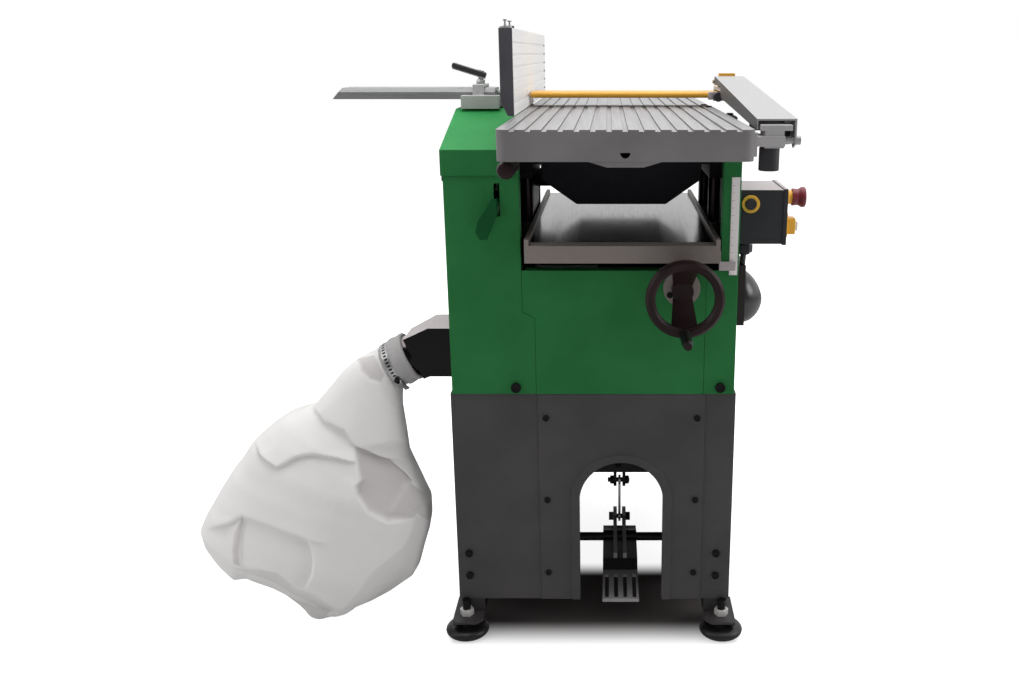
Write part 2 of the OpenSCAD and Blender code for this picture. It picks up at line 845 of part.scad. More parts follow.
module motor() color(black) place() {
    right = 186;
    plate_t = 11;
    face = right + plate_t;
    fin_n = 20;
    difference() {
        union() {
            rod_x(14, right, motor_y, motor_z, motor_d - 8);
            rod_x(-2, 14.01, motor_y, motor_z, motor_d - 24);
            for (i = [0 : fin_n - 1]) translate([24, motor_y, motor_z]) rotate([i * 360 / fin_n, 0, 0])
                translate([0, -1.5, motor_d / 2 - 6]) cube([120, 3, 6]);
            block(40, 130, motor_y - 40, motor_y + 40, deck_z, motor_z - motor_d / 2 + 10);
            block(right - 0.01, face, motor_y - 46, motor_y + 46, motor_z - 36, motor_top);
            hull() {
                rod_x(face - 0.01, face + 5, motor_y, motor_z + 8, 72);
                translate([face + 8, motor_y, motor_z - 4]) sphere(r = 24);
            }
        }
        rod_x(-3, 112, motor_y, motor_z, motor_shaft_d + 2 * shaft_run);
    }
}

module pulley(x0, x1, d, bore) {
    groove = belt_t + groove_run;
    mid = (x1 - x0) / 2;
    half = belt_w / 2 + groove_run;
    rotate([0, 90, 0]) rotate_extrude() polygon([
        [bore / 2, 0], [d / 2, 0], [d / 2, mid - half], [d / 2 - groove, mid - half],
        [d / 2 - groove, mid + half], [d / 2, mid + half], [d / 2, x1 - x0], [bore / 2, x1 - x0]
    ]);
}

module motor_shaft() color(steel) place() {
    blade_n = 8;
    hub_d = 36;
    disc_t = 3;
    disc_r = fan_r - 13;
    x0 = fan_x0 + fan_run;
    x1 = fan_x1 - fan_run;
    rod_x(pulley_x0, 108, motor_y, motor_z, motor_shaft_d);
    translate([pulley_x0, motor_y, motor_z]) pulley(pulley_x0, pulley_x1, motor_pulley_d,
        motor_shaft_d - 1);
    rod_x(x0, x1, motor_y, motor_z, hub_d);
    rod_x(x0, x0 + disc_t, motor_y, motor_z, 2 * disc_r);
    for (i = [0 : blade_n - 1]) translate([x0 + disc_t - 1, motor_y,
        motor_z]) rotate([i * 360 / blade_n, 0, 0])
        translate([0, -1.5, hub_d / 2 - 2]) cube([x1 - x0 - disc_t, 3, disc_r - hub_d / 2 + 1]);
}

module belt_loop(inset) hull() {
    translate([0, cutter_z]) circle(d = cutter_pulley_d + 1 - 2 * inset);
    translate([motor_y, motor_z]) circle(d = motor_pulley_d + 1 - 2 * inset);
}

module drive_belt() color(belt_black) place() {
    mid = (pulley_x0 + pulley_x1) / 2;
    yz_plate(mid - belt_w / 2, mid + belt_w / 2) difference() {
        belt_loop(0);
        belt_loop(belt_t);
    }
}

module fan_housing() color(dark_grey) place() {
    r = fan_r;
    x0 = fan_x0;
    x1 = fan_x1;
    wall = 2;
    out_y = duct_y - duct_w / 2 + 2;
    out_low = motor_z - r;
    out_high = duct_z + 4;
    chute_y = 58;
    chute_top = head_low - 1;
    chute_x = -bed_w / 2 - 3;
    difference() {
        union() {
            rod_x(x0, x1, motor_y, motor_z, 2 * r);
            block(x0, x1, out_y, motor_y, out_low, out_high);
        }
        rod_x(x0 + wall, x1 - wall, motor_y, motor_z, 2 * r - 2 * wall);
        block(x0 + wall, x1 - wall, out_y + wall, motor_y, out_low + wall, out_high - wall);
        rod_x(x0 - eps, x0 + wall + eps, motor_y, motor_z, motor_shaft_d + 10);
        rod_x(x1 - wall - eps, x1 + eps, motor_y, motor_z, 70);
        block(x0 - eps, x0 + wall + eps, out_y + wall, out_y + duct_w - 8, duct_z - duct_h / 2 + 4,
            out_high - wall);
    }
    difference() {
        block(x1, chute_x, -chute_y, chute_y, motor_z - 40, chute_top);
        block(x1 + wall, chute_x - wall, -chute_y + wall, chute_y - wall, motor_z - 40 + wall,
            chute_top - wall);
        rod_x(x1 - eps, x1 + wall + eps, motor_y, motor_z, 70);
        rod_x(chute_x - wall - eps, chute_x + eps, motor_y, motor_z, motor_shaft_d + 6);
        block(chute_x - wall - eps, chute_x + eps, -44, 44, hood_low + 13, chute_top - 4);
    }
}

module spigot_frame() translate([duct_x, duct_y, duct_z]) rotate([0, -90 - spigot_tilt, 0]) children();

elbow_len = 26;
duct_wall = 2.5;

// Tapering elbow from the square duct to the round spigot
module duct_elbow(inset, over) intersection() {
    end_r = spigot_d / 2 + 1 - inset;
    reach = elbow_len - inset;
    end_x = duct_x - reach * cos(spigot_tilt);
    end_z = duct_z - reach * sin(spigot_tilt);
    half_w = duct_w / 2 - inset;
    half_h = duct_h / 2 - inset;
    far_x = end_x - end_r * sin(spigot_tilt);
    xz_plate(duct_y - duct_w, duct_y + duct_w) polygon([
        [duct_x + over, duct_z + half_h], [duct_x, duct_z + half_h],
        [far_x, end_z + end_r * cos(spigot_tilt)],
        [end_x + end_r * sin(spigot_tilt), end_z - end_r * cos(spigot_tilt)],
        [duct_x, duct_z - half_h], [duct_x + over, duct_z - half_h]
    ]);
    translate([0, duct_y, duct_z - duct_h]) linear_extrude(2 * duct_h) polygon([
        [duct_x + over, half_w], [duct_x, half_w], [far_x, end_r], [far_x, -end_r], [duct_x, -half_w],
        [duct_x + over, -half_w]
    ]);
}

module dust_duct() color(black) place() {
    inner_x = fan_x0;
    difference() {
        union() {
            duct_elbow(0, inner_x - duct_x);
            spigot_frame() translate([0, 0, elbow_len - 3]) cylinder(d = spigot_d,
                h = spigot_len - elbow_len + 3);
        }
        duct_elbow(duct_wall, inner_x - duct_x + eps);
        spigot_frame() translate([0, 0, elbow_len - 8])
            cylinder(d = spigot_d - 2 * duct_wall, h = spigot_len);
    }
}

module bag_cuff() color("#a5a3a0") place() spigot_frame() {
    from = spigot_len - cuff_len + 4;
    difference() {
        union() {
            translate([0, 0, from]) cylinder(d = spigot_d + 7, h = cuff_len);
            translate([0, 0, from + 12]) cylinder(d = spigot_d + 10, h = 11);
            translate([spigot_d / 2 + 3, -6, from + 13]) cube([9, 18, 9]);
        }
        translate([0, 0, from - eps]) cylinder(d = spigot_d + 2 * shaft_run, h = cuff_len + 2 * eps);
    }
}

module dust_bag() color(cloth) place() difference() {
    left_r = 101;
    low_r = 69;
    translate([0, bag_y, 0]) hull() {
        translate([-352, 0, 394]) sphere(r = 34, $fn = 32);
        translate([-bag_reach + left_r, 0, 168]) sphere(r = left_r, $fn = 32);
        translate([-458, 0, bag_low + low_r]) sphere(r = low_r, $fn = 32);
        translate([-365, 0, 165]) sphere(r = 88, $fn = 32);
    }
    spigot_frame() cylinder(d = spigot_d + 40, h = spigot_len + 4 + run);
}

// Cutterblock, rollers and hood

module feed_gearbox() color(dark_grey) place() {
    x0 = -192;
    x1 = -176;
    difference() {
        union() {
            yz_plate(x0, x1) {
                for (y = [-roller_y, roller_y]) translate([y, roller_z]) circle(d = 56);
                translate([-roller_y, roller_z - 28]) square([2 * roller_y, 56]);
            }
            for (y = [-36, 36]) rod_x(x1 - 0.01, -head_out, y, roller_z - 14, 12);
        }
        rod_x(x0 - eps, x1 + eps, 0, cutter_z, cutter_shaft_d + 2 * run);
        for (y = [-roller_y, roller_y]) rod_x(x0 + 3, x1 + eps, y, roller_z, journal_d + 2 * shaft_run);
    }
}

module cutter_bearings() color(steel) place() both_sides() difference() {
    rod_x(head_in + 3, head_out - 3, 0, cutter_z, bearing_d - 2 * shaft_run);
    rod_x(head_in, head_out, 0, cutter_z, cutter_shaft_d + 2 * shaft_run);
}

knife_deep = 13;
gib_t = 6;

module knife_slot(width) {
    for (i = [0 : knife_n - 1]) translate([0, 0, cutter_z]) rotate([i * 360 / knife_n, 0,
        0]) children();
}

module cutterblock() color(steel) place() {
    end = head_in - 1;
    rod_x(pulley_x0 - 1, head_out - 1, 0, cutter_z, cutter_shaft_d);
    difference() {
        rod_x(-end, end, 0, cutter_z, block_d);
        knife_slot() translate([-end - eps, -knife_t / 2 - shaft_run, block_d / 2 - knife_deep])
            cube([2 * end + 2 * eps, knife_t + gib_t, knife_deep + eps]);
    }
    translate([pulley_x0, 0, cutter_z]) pulley(pulley_x0, pulley_x1, cutter_pulley_d,
        cutter_shaft_d - 1);
}

module knives() color("#d8dadc") place() knife_slot() {
    end = head_in - 1.5;
    translate([-end, -knife_t / 2, block_d / 2 - knife_deep]) cube([2 * end, knife_t,
        knife_deep + knife_out]);
    translate([-end, knife_t / 2 + shaft_run, block_d / 2 - knife_deep])
        cube([2 * end, gib_t - 3 * shaft_run, knife_deep - 2]);
}

module roller(y, teeth) {
    end = head_in - 2;
    rod_x(-188, head_out - 2, y, roller_z, journal_d);
    difference() {
        rod_x(-end, end, y, roller_z, roller_d);
        for (i = [0 : teeth - 1]) translate([0, y, roller_z]) rotate([i * 360 / max(teeth, 1), 0, 0])
            translate([-end - eps, -1, roller_d / 2 - 1.2]) cube([2 * end + 2 * eps, 2, 4]);
    }
}

module infeed_roller() color(steel) place() roller(-roller_y, 20);
module outfeed_roller() color(steel) place() roller(roller_y, 0);

module kickback_fingers() color(dark_grey) place() {
    finger_n = 22;
    pitch = (bed_w - 10) / finger_n;
    finger_t = 8;
    y = finger_y;
    z = finger_z;
    for (i = [0 : finger_n - 1]) {
        x = (i - (finger_n - 1) / 2) * pitch - finger_t / 2;
        difference() {
            union() {
                rod_x(x, x + finger_t, y, z, 17);
                yz_plate(x, x + finger_t) polygon([[y - 8, z - 2], [y + 8, z], [y + 10, z - 17],
                    [y + 5, z - 18]]);
            }
            rod_x(x - eps, x + finger_t + eps, y, z, finger_rod + 2 * run);
        }
    }
}

function hood_outline(t) = [
    [-hood_side + t, hood_top + eps], [-hood_side + t, hood_low + hood_slope],
    [-hood_floor + t * 0.4, hood_low + t],
    [hood_floor - t * 0.4, hood_low + t], [hood_side - t, hood_low + hood_slope],
    [hood_side - t, hood_top + eps]
];

module chip_hood() color(black) place() {
    spout_y = 45;
    spout_x = column_x - column_d / 2 - seam_gap;
    flange_out = head_in - 4;
    difference() {
        union() {
            xz_plate(-hood_front, hood_back) intersection() {
                polygon(hood_outline(0));
                translate([-hood_side, hood_low]) square([2 * hood_side, hood_top - hood_low]);
            }
            both_sides() block(hood_side - hood_t, flange_out, -hood_front, hood_back,
                hood_top - hood_t, hood_top);
            block(-spout_x, -hood_side + 12, -spout_y, spout_y, hood_low + 13, head_low - 2);
        }
        xz_plate(-hood_front + hood_t, hood_back - hood_t) polygon(hood_outline(hood_t));
        block(-spout_x - eps, -hood_side + 20, -spout_y + hood_t, spout_y - hood_t,
              hood_low + 13 + hood_t, head_low - 2 - hood_t);
    }
}

module feed_lever() color(green) place() {
    x = lever_x;
    z = lever_z;
    pivot_y = lever_y;
    t = 4;
    face_y = -body_front - 18;
    rod_x(x - 11, x + 11, pivot_y, z, lever_pin_d);
    difference() {
        yz_plate(x - t / 2, x + t / 2) polygon([
            [pivot_y + 9, z + 4], [pivot_y - 2, z + 9], [face_y - t, z - 6], [face_y - t, z - 20],
            [pivot_y + 4, z - 9]
        ]);
        rod_x(x - t, x + t, pivot_y, z, lever_pin_d - 0.02);
    }
    xz_plate(face_y - t, face_y) polygon([
        [x + 2, z + 4], [x + 2, z - 18], [x - 12, z - 50], [x - 22, z - 50], [x - 27, z - 40],
        [x - 24, z - 26], [x - 4, z + 4]
    ]);
}

// Planing tables

module table_outline(grow) {
    w = table_w / 2 + grow;
    r = table_corner;
    translate([-w, 0]) square([2 * w, table_len - r]);
    translate([-w + r, 0]) square([2 * (w - r), table_len]);
    for (x = [-w + r, w - r]) translate([x, table_len - r]) circle(r = r);
}

module table_casting(depth) {
    w = table_w / 2;
    rib_n = 4;
    open_y = head_y + 30 - lip_gap / 2;
    bay = (table_len - table_wall - open_y) / rib_n;
    boss = 40;
    groove_n = 2 * floor((w - table_corner) / groove_pitch) + 1;
    difference() {
        union() {
            translate([0, 0, -table_h]) linear_extrude(table_h) table_outline(0);
            xz_plate(table_len - table_wall, table_len - 0.5)
                polygon([[-boss, -table_h + 0.01], [boss, -table_h + 0.01],
                    [boss / 2, -table_h - 6], [-boss / 2, -table_h - 6]]);
        }
        block(-w + table_wall, w - table_wall, -eps, open_y - table_wall, -table_h - eps, -table_skin);
        for (i = [0 : rib_n - 1])
            block(-w + table_wall, w - table_wall, open_y + i * bay,
                open_y + (i + 1) * bay - (i < rib_n - 1 ? table_wall : 0),
                  -table_h - 7, -table_skin);
        for (i = [0 : groove_n - 1])
            translate([(i - (groove_n - 1) / 2) * groove_pitch - groove_w / 2, -eps, -groove_d])
                cube([groove_w, table_len + 2 * eps, groove_d + eps]);
        rod_x(-w - eps, w + eps, -lip_gap / 2, -depth, 2 * (knife_r + knife_gap));
        rod_x(-w - eps, w + eps, roller_y - lip_gap / 2, roller_z - cutter_z - depth,
            journal_d + 2 * roller_room);
        intersection() {
            rod_y(table_len - table_wall - eps, table_len + eps, 0, -table_h + 9, 11);
            block(-20, 20, 0, table_len + 5, -table_h, -table_h + 10);
        }
    }
}

module outfeed_table() color(iron) place() {
    translate([0, -lip_gap / 2, table_z]) mirror([0, 1, 0]) table_casting(knife_r);
    difference() {
        block(lock_x - 6, lock_x + 6, lock_y - 8, lock_y + 8, lock_z - 8, rim_z + 0.01);
        rod_y(lock_y - 9, lock_y + 9, lock_x, lock_z, lock_shaft_d + 2 * shaft_run);
    }
}

module infeed_table() color(iron) place() {
    post_y = head_y - tie_t / 2;
    top = table_z - infeed_drop;
    translate([0, lip_gap / 2, top]) table_casting(knife_r - infeed_drop);
    for (x = [-post_x, post_x]) difference() {
        rod_z(tie_high + 6, top - table_skin + 0.01, x, post_y, 26);
        rod_z(tie_high, top - table_skin - 1, x, post_y, tie_t + 2 * shaft_run);
    }
}

module depth_knob() color(black) place() {
    y = knob_y;
    z = knob_z;
    rod_x(head_in + 2, body_right + 4, y, z, knob_shaft_d);
    difference() {
        rod_x(body_right + 3, body_right + 26, y, z, 32);
        for (a = [0 : 60 : 300]) translate([0, y, z]) rotate([a, 0, 0])
            rod_x(body_right, body_right + 30, 19, 0, 10);
    }
}

module table_lock() color(black) place() {
    rod_y(lock_y - 9, lock_y + 12, lock_x, lock_z, lock_shaft_d);
    translate([lock_x, lock_y - 8 - run, lock_z]) rotate([90, 0, 0]) rotate_extrude() polygon([
        [0, 0], [8, 0], [10.5, 12], [10.5, 76], [8.5, 84], [0, 86]
    ]);
}

// Switch box and buttons

module switch_box() color(black) place() {
    lid_t = 6;
    difference() {
        union() {
            block(body_right, box_x1 - lid_t, box_y0, box_y1, box_z0, box_z1);
            block(box_x1 - lid_t - 0.01, box_x1, box_y0 - 1.5, box_y1 + 1.5, box_z0 - 1.5,
                box_z1 + 1.5);
            rod_z(box_z0 - 31, box_z0 + 0.01, gland_x, gland_y, 18);
            translate([gland_x, gland_y, box_z0 - 28]) cylinder(d = 27, h = 12, $fn = 6);
            difference() {
                translate([gland_x, gland_y, box_z0 - 26]) rotate([207.7, 0, 0]) cylinder(d = 9,
                    h = 40);
                block(gland_x - 20, gland_x + 20, gland_y - 20, gland_y + 50, motor_top - 40,
                    motor_top + 0.05);
            }
        }
        rod_x(box_x1 - 18, box_x1 + eps, button_y, stop_z, 12 + 2 * run);
        start_hole();
        rod_y(box_y0 - eps, box_y0 + 16, reset_x, reset_z, 16 + 2 * run);
    }
}

module start_hole() block(
    box_x1 - 11, box_x1 + 10, button_y - 11 - run, button_y + 11 + run, start_z - 12 - run, start_z + 12 + run
);

module button_bezels() color(yellow) place() {
    seat = stop_x - 25.5;
    difference() {
        union() {
            rod_x(box_x1, seat, button_y, stop_z, 26);
            rod_x(seat - 0.01, stop_x - 17, button_y, stop_z, 20);
        }
        rod_x(box_x1 - eps, stop_x, button_y, stop_z, 12 + 2 * run);
    }
    difference() {
        block(box_x1, box_x1 + 4, button_y - 14, button_y + 14, start_z - 15, start_z + 20);
        start_hole();
    }
    difference() {
        rod_y(box_y0 - 4, box_y0, reset_x, reset_z, 26);
        rod_y(box_y0 - 5, box_y0 + eps, reset_x, reset_z, 16 + 2 * run);
    }
}

module stop_button() color(red) place() {
    head = 20;
    cup = 8.5;
    r = stop_d / 2;
    rod_x(box_x1 - 11, stop_x - head + cup + 0.01, button_y, stop_z, 12);
    translate([stop_x - head, button_y, stop_z]) rotate([0, 90, 0]) rotate_extrude() polygon([
        [0, cup], [10.4, cup], [10.4, 0], [12.6, 0], [12.6, 2], [11.8, 9], [r, 14.5], [r, head - 1.5],
        [r - 1.5, head], [0, head]
    ]);
}

module start_button() color(yellow) place() {
    block(box_x1 - 7, stop_x - 14, button_y - 11, button_y + 11, start_z - 12, start_z + 12);
    block(stop_x - 14.01, stop_x - 10, button_y - 8, button_y + 8, start_z - 7, start_z + 6);
}

module reset_button() color(black) place() rod_y(box_y0 - 7, box_y0 + 11, reset_x, reset_z, 16);

// Fence

module fence_section(y0, y1) xz_plate(y0, y1) polygon([
    [fence_x, fence_low], [fence_x, fence_low + fence_h], [fence_x - fence_t, fence_low + fence_h],
    [fence_x - fence_t, fence_low + 18], [fence_x - fence_t + 9, fence_low]
]);

module fence_plate() color("#e9e8e6") place() {
    groove_step = 15;
    groove_n = 6;
    back_y = fence_len - fence_front;
    knuckle = 10;
    difference() {
        union() {
            fence_section(-fence_front, back_y);
            for (y = [bar_y - bar_w / 2 + 2, bar_y + bar_w / 2 - 14]) {
                rod_y(y, y + 12, hinge_x, hinge_z, knuckle);
                block(hinge_x, fence_x - fence_t + 9, y, y + 12, hinge_z - 5, hinge_z + 5);
            }
        }
        for (i = [1 : groove_n])
            block(fence_x - 1.5, fence_x + eps, -fence_front - eps, back_y + eps,
                  fence_low + i * groove_step - 1.5, fence_low + i * groove_step + 1.5);
        block(fence_x - fence_t - eps, fence_x - fence_t + 5, -fence_front - eps, back_y + eps,
              fence_low + fence_h / 2 - 6, fence_low + fence_h / 2 + 6);
        rod_y(bar_y - 50, bar_y + 50, hinge_x, hinge_z, 6 + 2 * run);
    }
}

module fence_caps() color(black) place() {
    fence_section(-fence_front - 4, -fence_front);
    fence_section(fence_len - fence_front, fence_len - fence_front + 4);
}

module fence_bar() color(iron) place() {
    x0 = bar_x1 - bar_len;
    slant = 14;
    edge = 6;
    y0 = bar_y - bar_w / 2;
    lug_y0 = bar_y - bar_w / 2 + 14.5;
    lug_y1 = bar_y + bar_w / 2 - 14.5;
    intersection() {
        xz_plate(y0, y0 + bar_w)
            polygon([[x0, bar_z], [bar_x1, bar_z], [bar_x1, bar_z + bar_h],
                [x0 + slant, bar_z + bar_h]]);
        yz_plate(x0 - eps, bar_x1 + eps) polygon([
            [y0, bar_z], [y0 + bar_w, bar_z], [y0 + bar_w, bar_z + bar_h - edge],
            [y0 + bar_w - edge, bar_z + bar_h], [y0 + edge, bar_z + bar_h], [y0, bar_z + bar_h - edge]
        ]);
    }
    difference() {
        union() {
            xz_plate(lug_y0, lug_y1) polygon([
                [bar_x1 - 4, bar_z + 2], [bar_x1 - 0.01, bar_z + bar_h - 3], [hinge_x + 2, hinge_z + 4],
                [hinge_x, hinge_z - 5], [bar_x1 - 0.01, hinge_z - 4]
            ]);
            rod_y(lug_y0, lug_y1, hinge_x, hinge_z, 10);
        }
        rod_y(lug_y0 - eps, lug_y1 + eps, hinge_x, hinge_z, 6 - 0.02);
    }
    rod_y(y0 + 1, y0 + bar_w - 1, hinge_x, hinge_z, 6);
}

module fence_guide() color(iron) place() {
    x0 = bar_x1 - 48;
    x1 = hinge_x - 13.5;
    y0 = bar_y - bar_w / 2;
    y1 = y0 + bar_w;
    side = 18;
    low = table_z + 1;
    high = bar_z + 6;
    strap = bar_z + bar_h + 5;
    strap_t = 5;
    block(x0, bar_x1 - 4.5, y0 - side, y1 + side, low, bar_z);
    block(x0, x1, y0 - side, y0 - run, low, high);
    block(x0, x1, y1 + run, y1 + side, low, high);
    block(clamp_x - 8, clamp_x + 8, y0 - run - strap_t, y0 - run, high - 0.01, strap);
    block(clamp_x - 8, clamp_x + 8, y1 + run, y1 + run + strap_t, high - 0.01, strap);
    block(clamp_x - 8, clamp_x + 8, y0 - run - strap_t, y1 + run + strap_t, strap - strap_t + 0.4,
        strap);
}

module fence_lever() color(dark_grey) place() {
    z = bar_z + bar_h;
    rod_z(z + 5, z + 18, clamp_x, bar_y, 14);
    xz_plate(bar_y - 7, bar_y + 7) polygon([
        [clamp_x - 41, z + 26], [clamp_x - 40.5, z + 33], [clamp_x - 38.5, z + 35.5],
        [clamp_x, z + 28.5],
        [clamp_x + 6, z + 22.5], [clamp_x + 6, z + 18], [clamp_x - 6, z + 18]
    ]);
}

// Guard

module guard_bracket() color(iron) place() {
    x0 = table_w / 2;
    block_x = arm_x0 + arm_t + 2;
    difference() {
        union() {
            block(x0, block_x + 26, arm_pivot_y - 24, arm_pivot_y + 20, arm_pivot_z - 5,
                arm_pivot_z + 6);
            block(block_x + 4, block_x + 25, arm_pivot_y - 22, arm_pivot_y + 16, arm_pivot_z - 7,
                arm_pivot_z + 18);
            block(block_x, block_x + 34, arm_pivot_y - 22, arm_pivot_y + 16, arm_pivot_z + 12,
                arm_pivot_z + 18);
            block(x0, x0 + 4, arm_pivot_y - 34, arm_pivot_y + 36, rim_z + 4, table_z - 4);
        }
        rod_x(x0 + 5, block_x + 60, arm_pivot_y, arm_pivot_z, 8 + 2 * shaft_run);
        rod_z(arm_pivot_z - 8, arm_pivot_z - 3, block_x + 12, arm_pivot_y - 3, 8 + 2 * run);
    }
}

module guard_arm() color(steel) place() {
    x1 = arm_x0 + arm_w;
    near = arm_pivot_y - 8;
    near_z = table_z + 9;
    far_z = table_z + 44;
    left_low = table_z - 3;
    end_low = carrier_z - 5;
    yz_plate(arm_x0, x1) polygon([
        [near, near_z - arm_t], [near, near_z], [0, far_z], [0, far_z - arm_t]
    ]);
    difference() {
        yz_plate(arm_x0, arm_x0 + arm_t) polygon([
            [near, left_low], [near, near_z - 0.5], [0, far_z - 0.5], [8, end_low], [-80, end_low],
            [-100, table_z + 15]
        ]);
        rod_x(arm_x0 - eps, x1, 0, carrier_z, 6 + 2 * run);
    }
    difference() {
        yz_plate(x1 - arm_t, x1) polygon([
            [near, table_z - 19], [near, near_z - 0.5], [0, far_z - 0.5], [8, end_low],
            [-80, end_low], [-100, table_z + 15],
            [near + 34, table_z - 8], [near + 14, table_z - 24]
        ]);
        rod_x(x1 - 5, x1 + eps, 0, carrier_z, 6 + 2 * run);
    }
    rod_x(arm_x0 + 8, x1 + 3, arm_pivot_y, arm_pivot_z, 8);
    rod_x(x1 - 0.01, x1 + 6, arm_pivot_y, arm_pivot_z, 10);
}

module guard_carrier() color(yellow) place() {
    x0 = arm_x0 + arm_t + 2;
    x1 = arm_x0 + arm_w - arm_t - 2;
    half = blade_w / 2 + 0.5;
    top = blade_z + blade_t + 1.5;
    jaw = 4.5;
    low = blade_z - 4;
    block(x0, x1, -half - jaw, half + jaw, top, top + 5.5);
    for (s = [-1, 1]) {
        block(x0, x1, s < 0 ? -half - jaw : half, s < 0 ? -half : half + jaw, low, top + 0.01);
        block(x0, x1, s < 0 ? -half - 0.01 : half - 7, s < 0 ? -half + 7 : half + 0.01, low,
            blade_z - 0.5);
    }
    difference() {
        block(table_w / 2, x0 + 0.01, -half - jaw, -half, low, blade_z + blade_t + 1);
        rod_y(-half - jaw - eps, -half + eps, table_w / 2 + 6.5, blade_z + 2, 5 + 2 * run);
    }
    block(x0 + 2, x1 - 2, -4, 4, top, carrier_z);
    rod_x(x0 + 2, x1 - 2, 0, carrier_z, 10);
    rod_x(arm_x0 - 3, arm_x0 + arm_w + 3, 0, carrier_z, 6);
    block(x0 + 4, x1 - 8, 10, 22, top, carrier_z + 12);
}

module guard_blade() color(yellow) place() {
    edge = blade_w / 2 - blade_t / 2;
    block(blade_x0, blade_x0 + blade_len, -edge, edge, blade_z, blade_z + blade_t);
    for (y = [-edge, edge]) rod_x(blade_x0, blade_x0 + blade_len, y, blade_z + blade_t / 2, blade_t);
}

module blade_knob() color(black) place() {
    half = blade_w / 2 + 0.5;
    x = table_w / 2 + 6.5;
    z = blade_z + 2;
    rod_y(-half - 17, -half - 4.5 - run, x, z, 14);
    rod_y(-half - 5, -half - 0.5, x, z, 5);
}

module guard_knob() color(black) place() {
    x = arm_x0 + arm_t + 14;
    y = arm_pivot_y - 3;
    top = arm_pivot_z - 7 - run;
    rod_z(top - 26, top, x, y, 23);
    rod_z(top - 1, top + 2.4, x, y, 8);
}

stand_side_panels();
stand_end_panels();
fasteners();
foot_brackets();
foot_pads();
pedal_crossmember();
pedal_link();
pedal();
wheel_axle();
wheel_left();
wheel_right();
base_frame();
head_frame();
left_housing();
left_top_cover();
front_panel();
rear_panel();
right_cover();
depth_scale();
lift_gearbox();
lift_screw();
thicknesser_bed();
handwheel();
handwheel_grip();
motor();
motor_shaft();
drive_belt();
fan_housing();
dust_duct();
bag_cuff();
dust_bag();
feed_gearbox();
cutter_bearings();
cutterblock();
knives();
infeed_roller();
outfeed_roller();
kickback_fingers();
chip_hood();
feed_lever();
outfeed_table();
infeed_table();
depth_knob();
table_lock();
switch_box();
button_bezels();
stop_button();
start_button();
reset_button();
fence_guide();
fence_bar();
fence_plate();
fence_caps();
fence_lever();
guard_bracket();
guard_arm();
guard_carrier();
guard_blade();
blade_knob();
guard_knob();
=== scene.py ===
import json
import math

import bmesh
import bpy
import numpy
from mathutils import Matrix, Vector


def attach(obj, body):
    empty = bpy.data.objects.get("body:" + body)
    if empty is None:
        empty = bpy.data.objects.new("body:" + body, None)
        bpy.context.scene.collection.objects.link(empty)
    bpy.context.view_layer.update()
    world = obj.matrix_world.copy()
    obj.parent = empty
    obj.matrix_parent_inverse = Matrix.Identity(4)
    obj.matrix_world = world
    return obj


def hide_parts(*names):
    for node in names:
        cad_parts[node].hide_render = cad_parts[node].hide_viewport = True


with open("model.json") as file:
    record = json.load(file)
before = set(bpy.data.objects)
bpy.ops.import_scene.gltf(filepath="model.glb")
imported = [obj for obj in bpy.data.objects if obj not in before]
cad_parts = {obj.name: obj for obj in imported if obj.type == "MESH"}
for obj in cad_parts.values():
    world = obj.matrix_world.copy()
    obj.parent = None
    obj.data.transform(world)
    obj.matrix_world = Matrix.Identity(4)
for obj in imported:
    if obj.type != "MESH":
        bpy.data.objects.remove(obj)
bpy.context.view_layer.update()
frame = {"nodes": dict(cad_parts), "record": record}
nodes = frame["nodes"]
shiftX = 0.1745  # tables' middle in the row frame; sizes below are read from the tables' middle, in mm


def at(x, y, z):
    return Vector((x / 1000 + shiftX, y / 1000, z / 1000))


def linear(hexText):
    parts = [int(hexText[i:i + 2], 16) / 255 for i in (1, 3, 5)]
    return [p / 12.92 if p <= 0.04045 else ((p + 0.055) / 1.055) ** 2.4 for p in parts] + [1.0]


def addNode(tree, kind, settings=None, links=None):
    # capital keys and numbers are sockets, "stops" are the places and colours of a ramp, the rest are properties
    node = tree.nodes.new(kind)
    for key, value in (settings or {}).items():
        if key == "stops":
            for element, (place, colour) in zip(node.color_ramp.elements, value):
                element.position = place
                element.color = linear(colour)
        elif isinstance(key, int) or key[0].isupper():
            node.inputs[key].default_value = value
        else:
            setattr(node, key, value)
    for key, socket in (links or {}).items():
        tree.links.new(socket, node.inputs[key])
    return node


def startFinish(name, metallic=0.0, ior=1.5, **sockets):
    material = bpy.data.materials.new(name)
    material.use_nodes = True
    tree = material.node_tree
    shader = tree.nodes["Principled BSDF"]
    shader.inputs["Metallic"].default_value = metallic
    if not metallic:
        shader.inputs["IOR"].default_value = ior
    for key, value in sockets.items():
        shader.inputs[key.replace("_", " ")].default_value = value
    place = addNode(tree, "ShaderNodeTexCoord").outputs["Object"]
    return material, tree, shader, place


def joinUp(tree, shader, links):
    for key, socket in links.items():
        tree.links.new(socket, shader.inputs[key])


noiseBand = dict(tone=(0.35, 0.65), gloss=(0.3, 0.7))  # noise values at the two shades and at the two glosses
patchMm = dict(coat=90, plastic=45, cloth=120)  # width of the patches in the colour


def spread(tree, shader, shades, roughness, bumpMm, patches, shine, height):
    # end of every solid finish: one pattern picks the shade, one the gloss and one raises the relief
    tone = addNode(tree, "ShaderNodeValToRGB", {"stops": list(zip(noiseBand["tone"], shades))}, {"Fac": patches})
    gloss = addNode(tree, "ShaderNodeMapRange", {"From Min": noiseBand["gloss"][0], "From Max": noiseBand["gloss"][1],
                    "To Min": roughness[0], "To Max": roughness[1]}, {"Value": shine})
    relief = addNode(tree, "ShaderNodeBump", {"Distance": bumpMm / 1000}, {"Height": height})
    joinUp(tree, shader, {"Base Color": tone.outputs["Color"], "Roughness": gloss.outputs["Result"],
                          "Normal": relief.outputs["Normal"]})


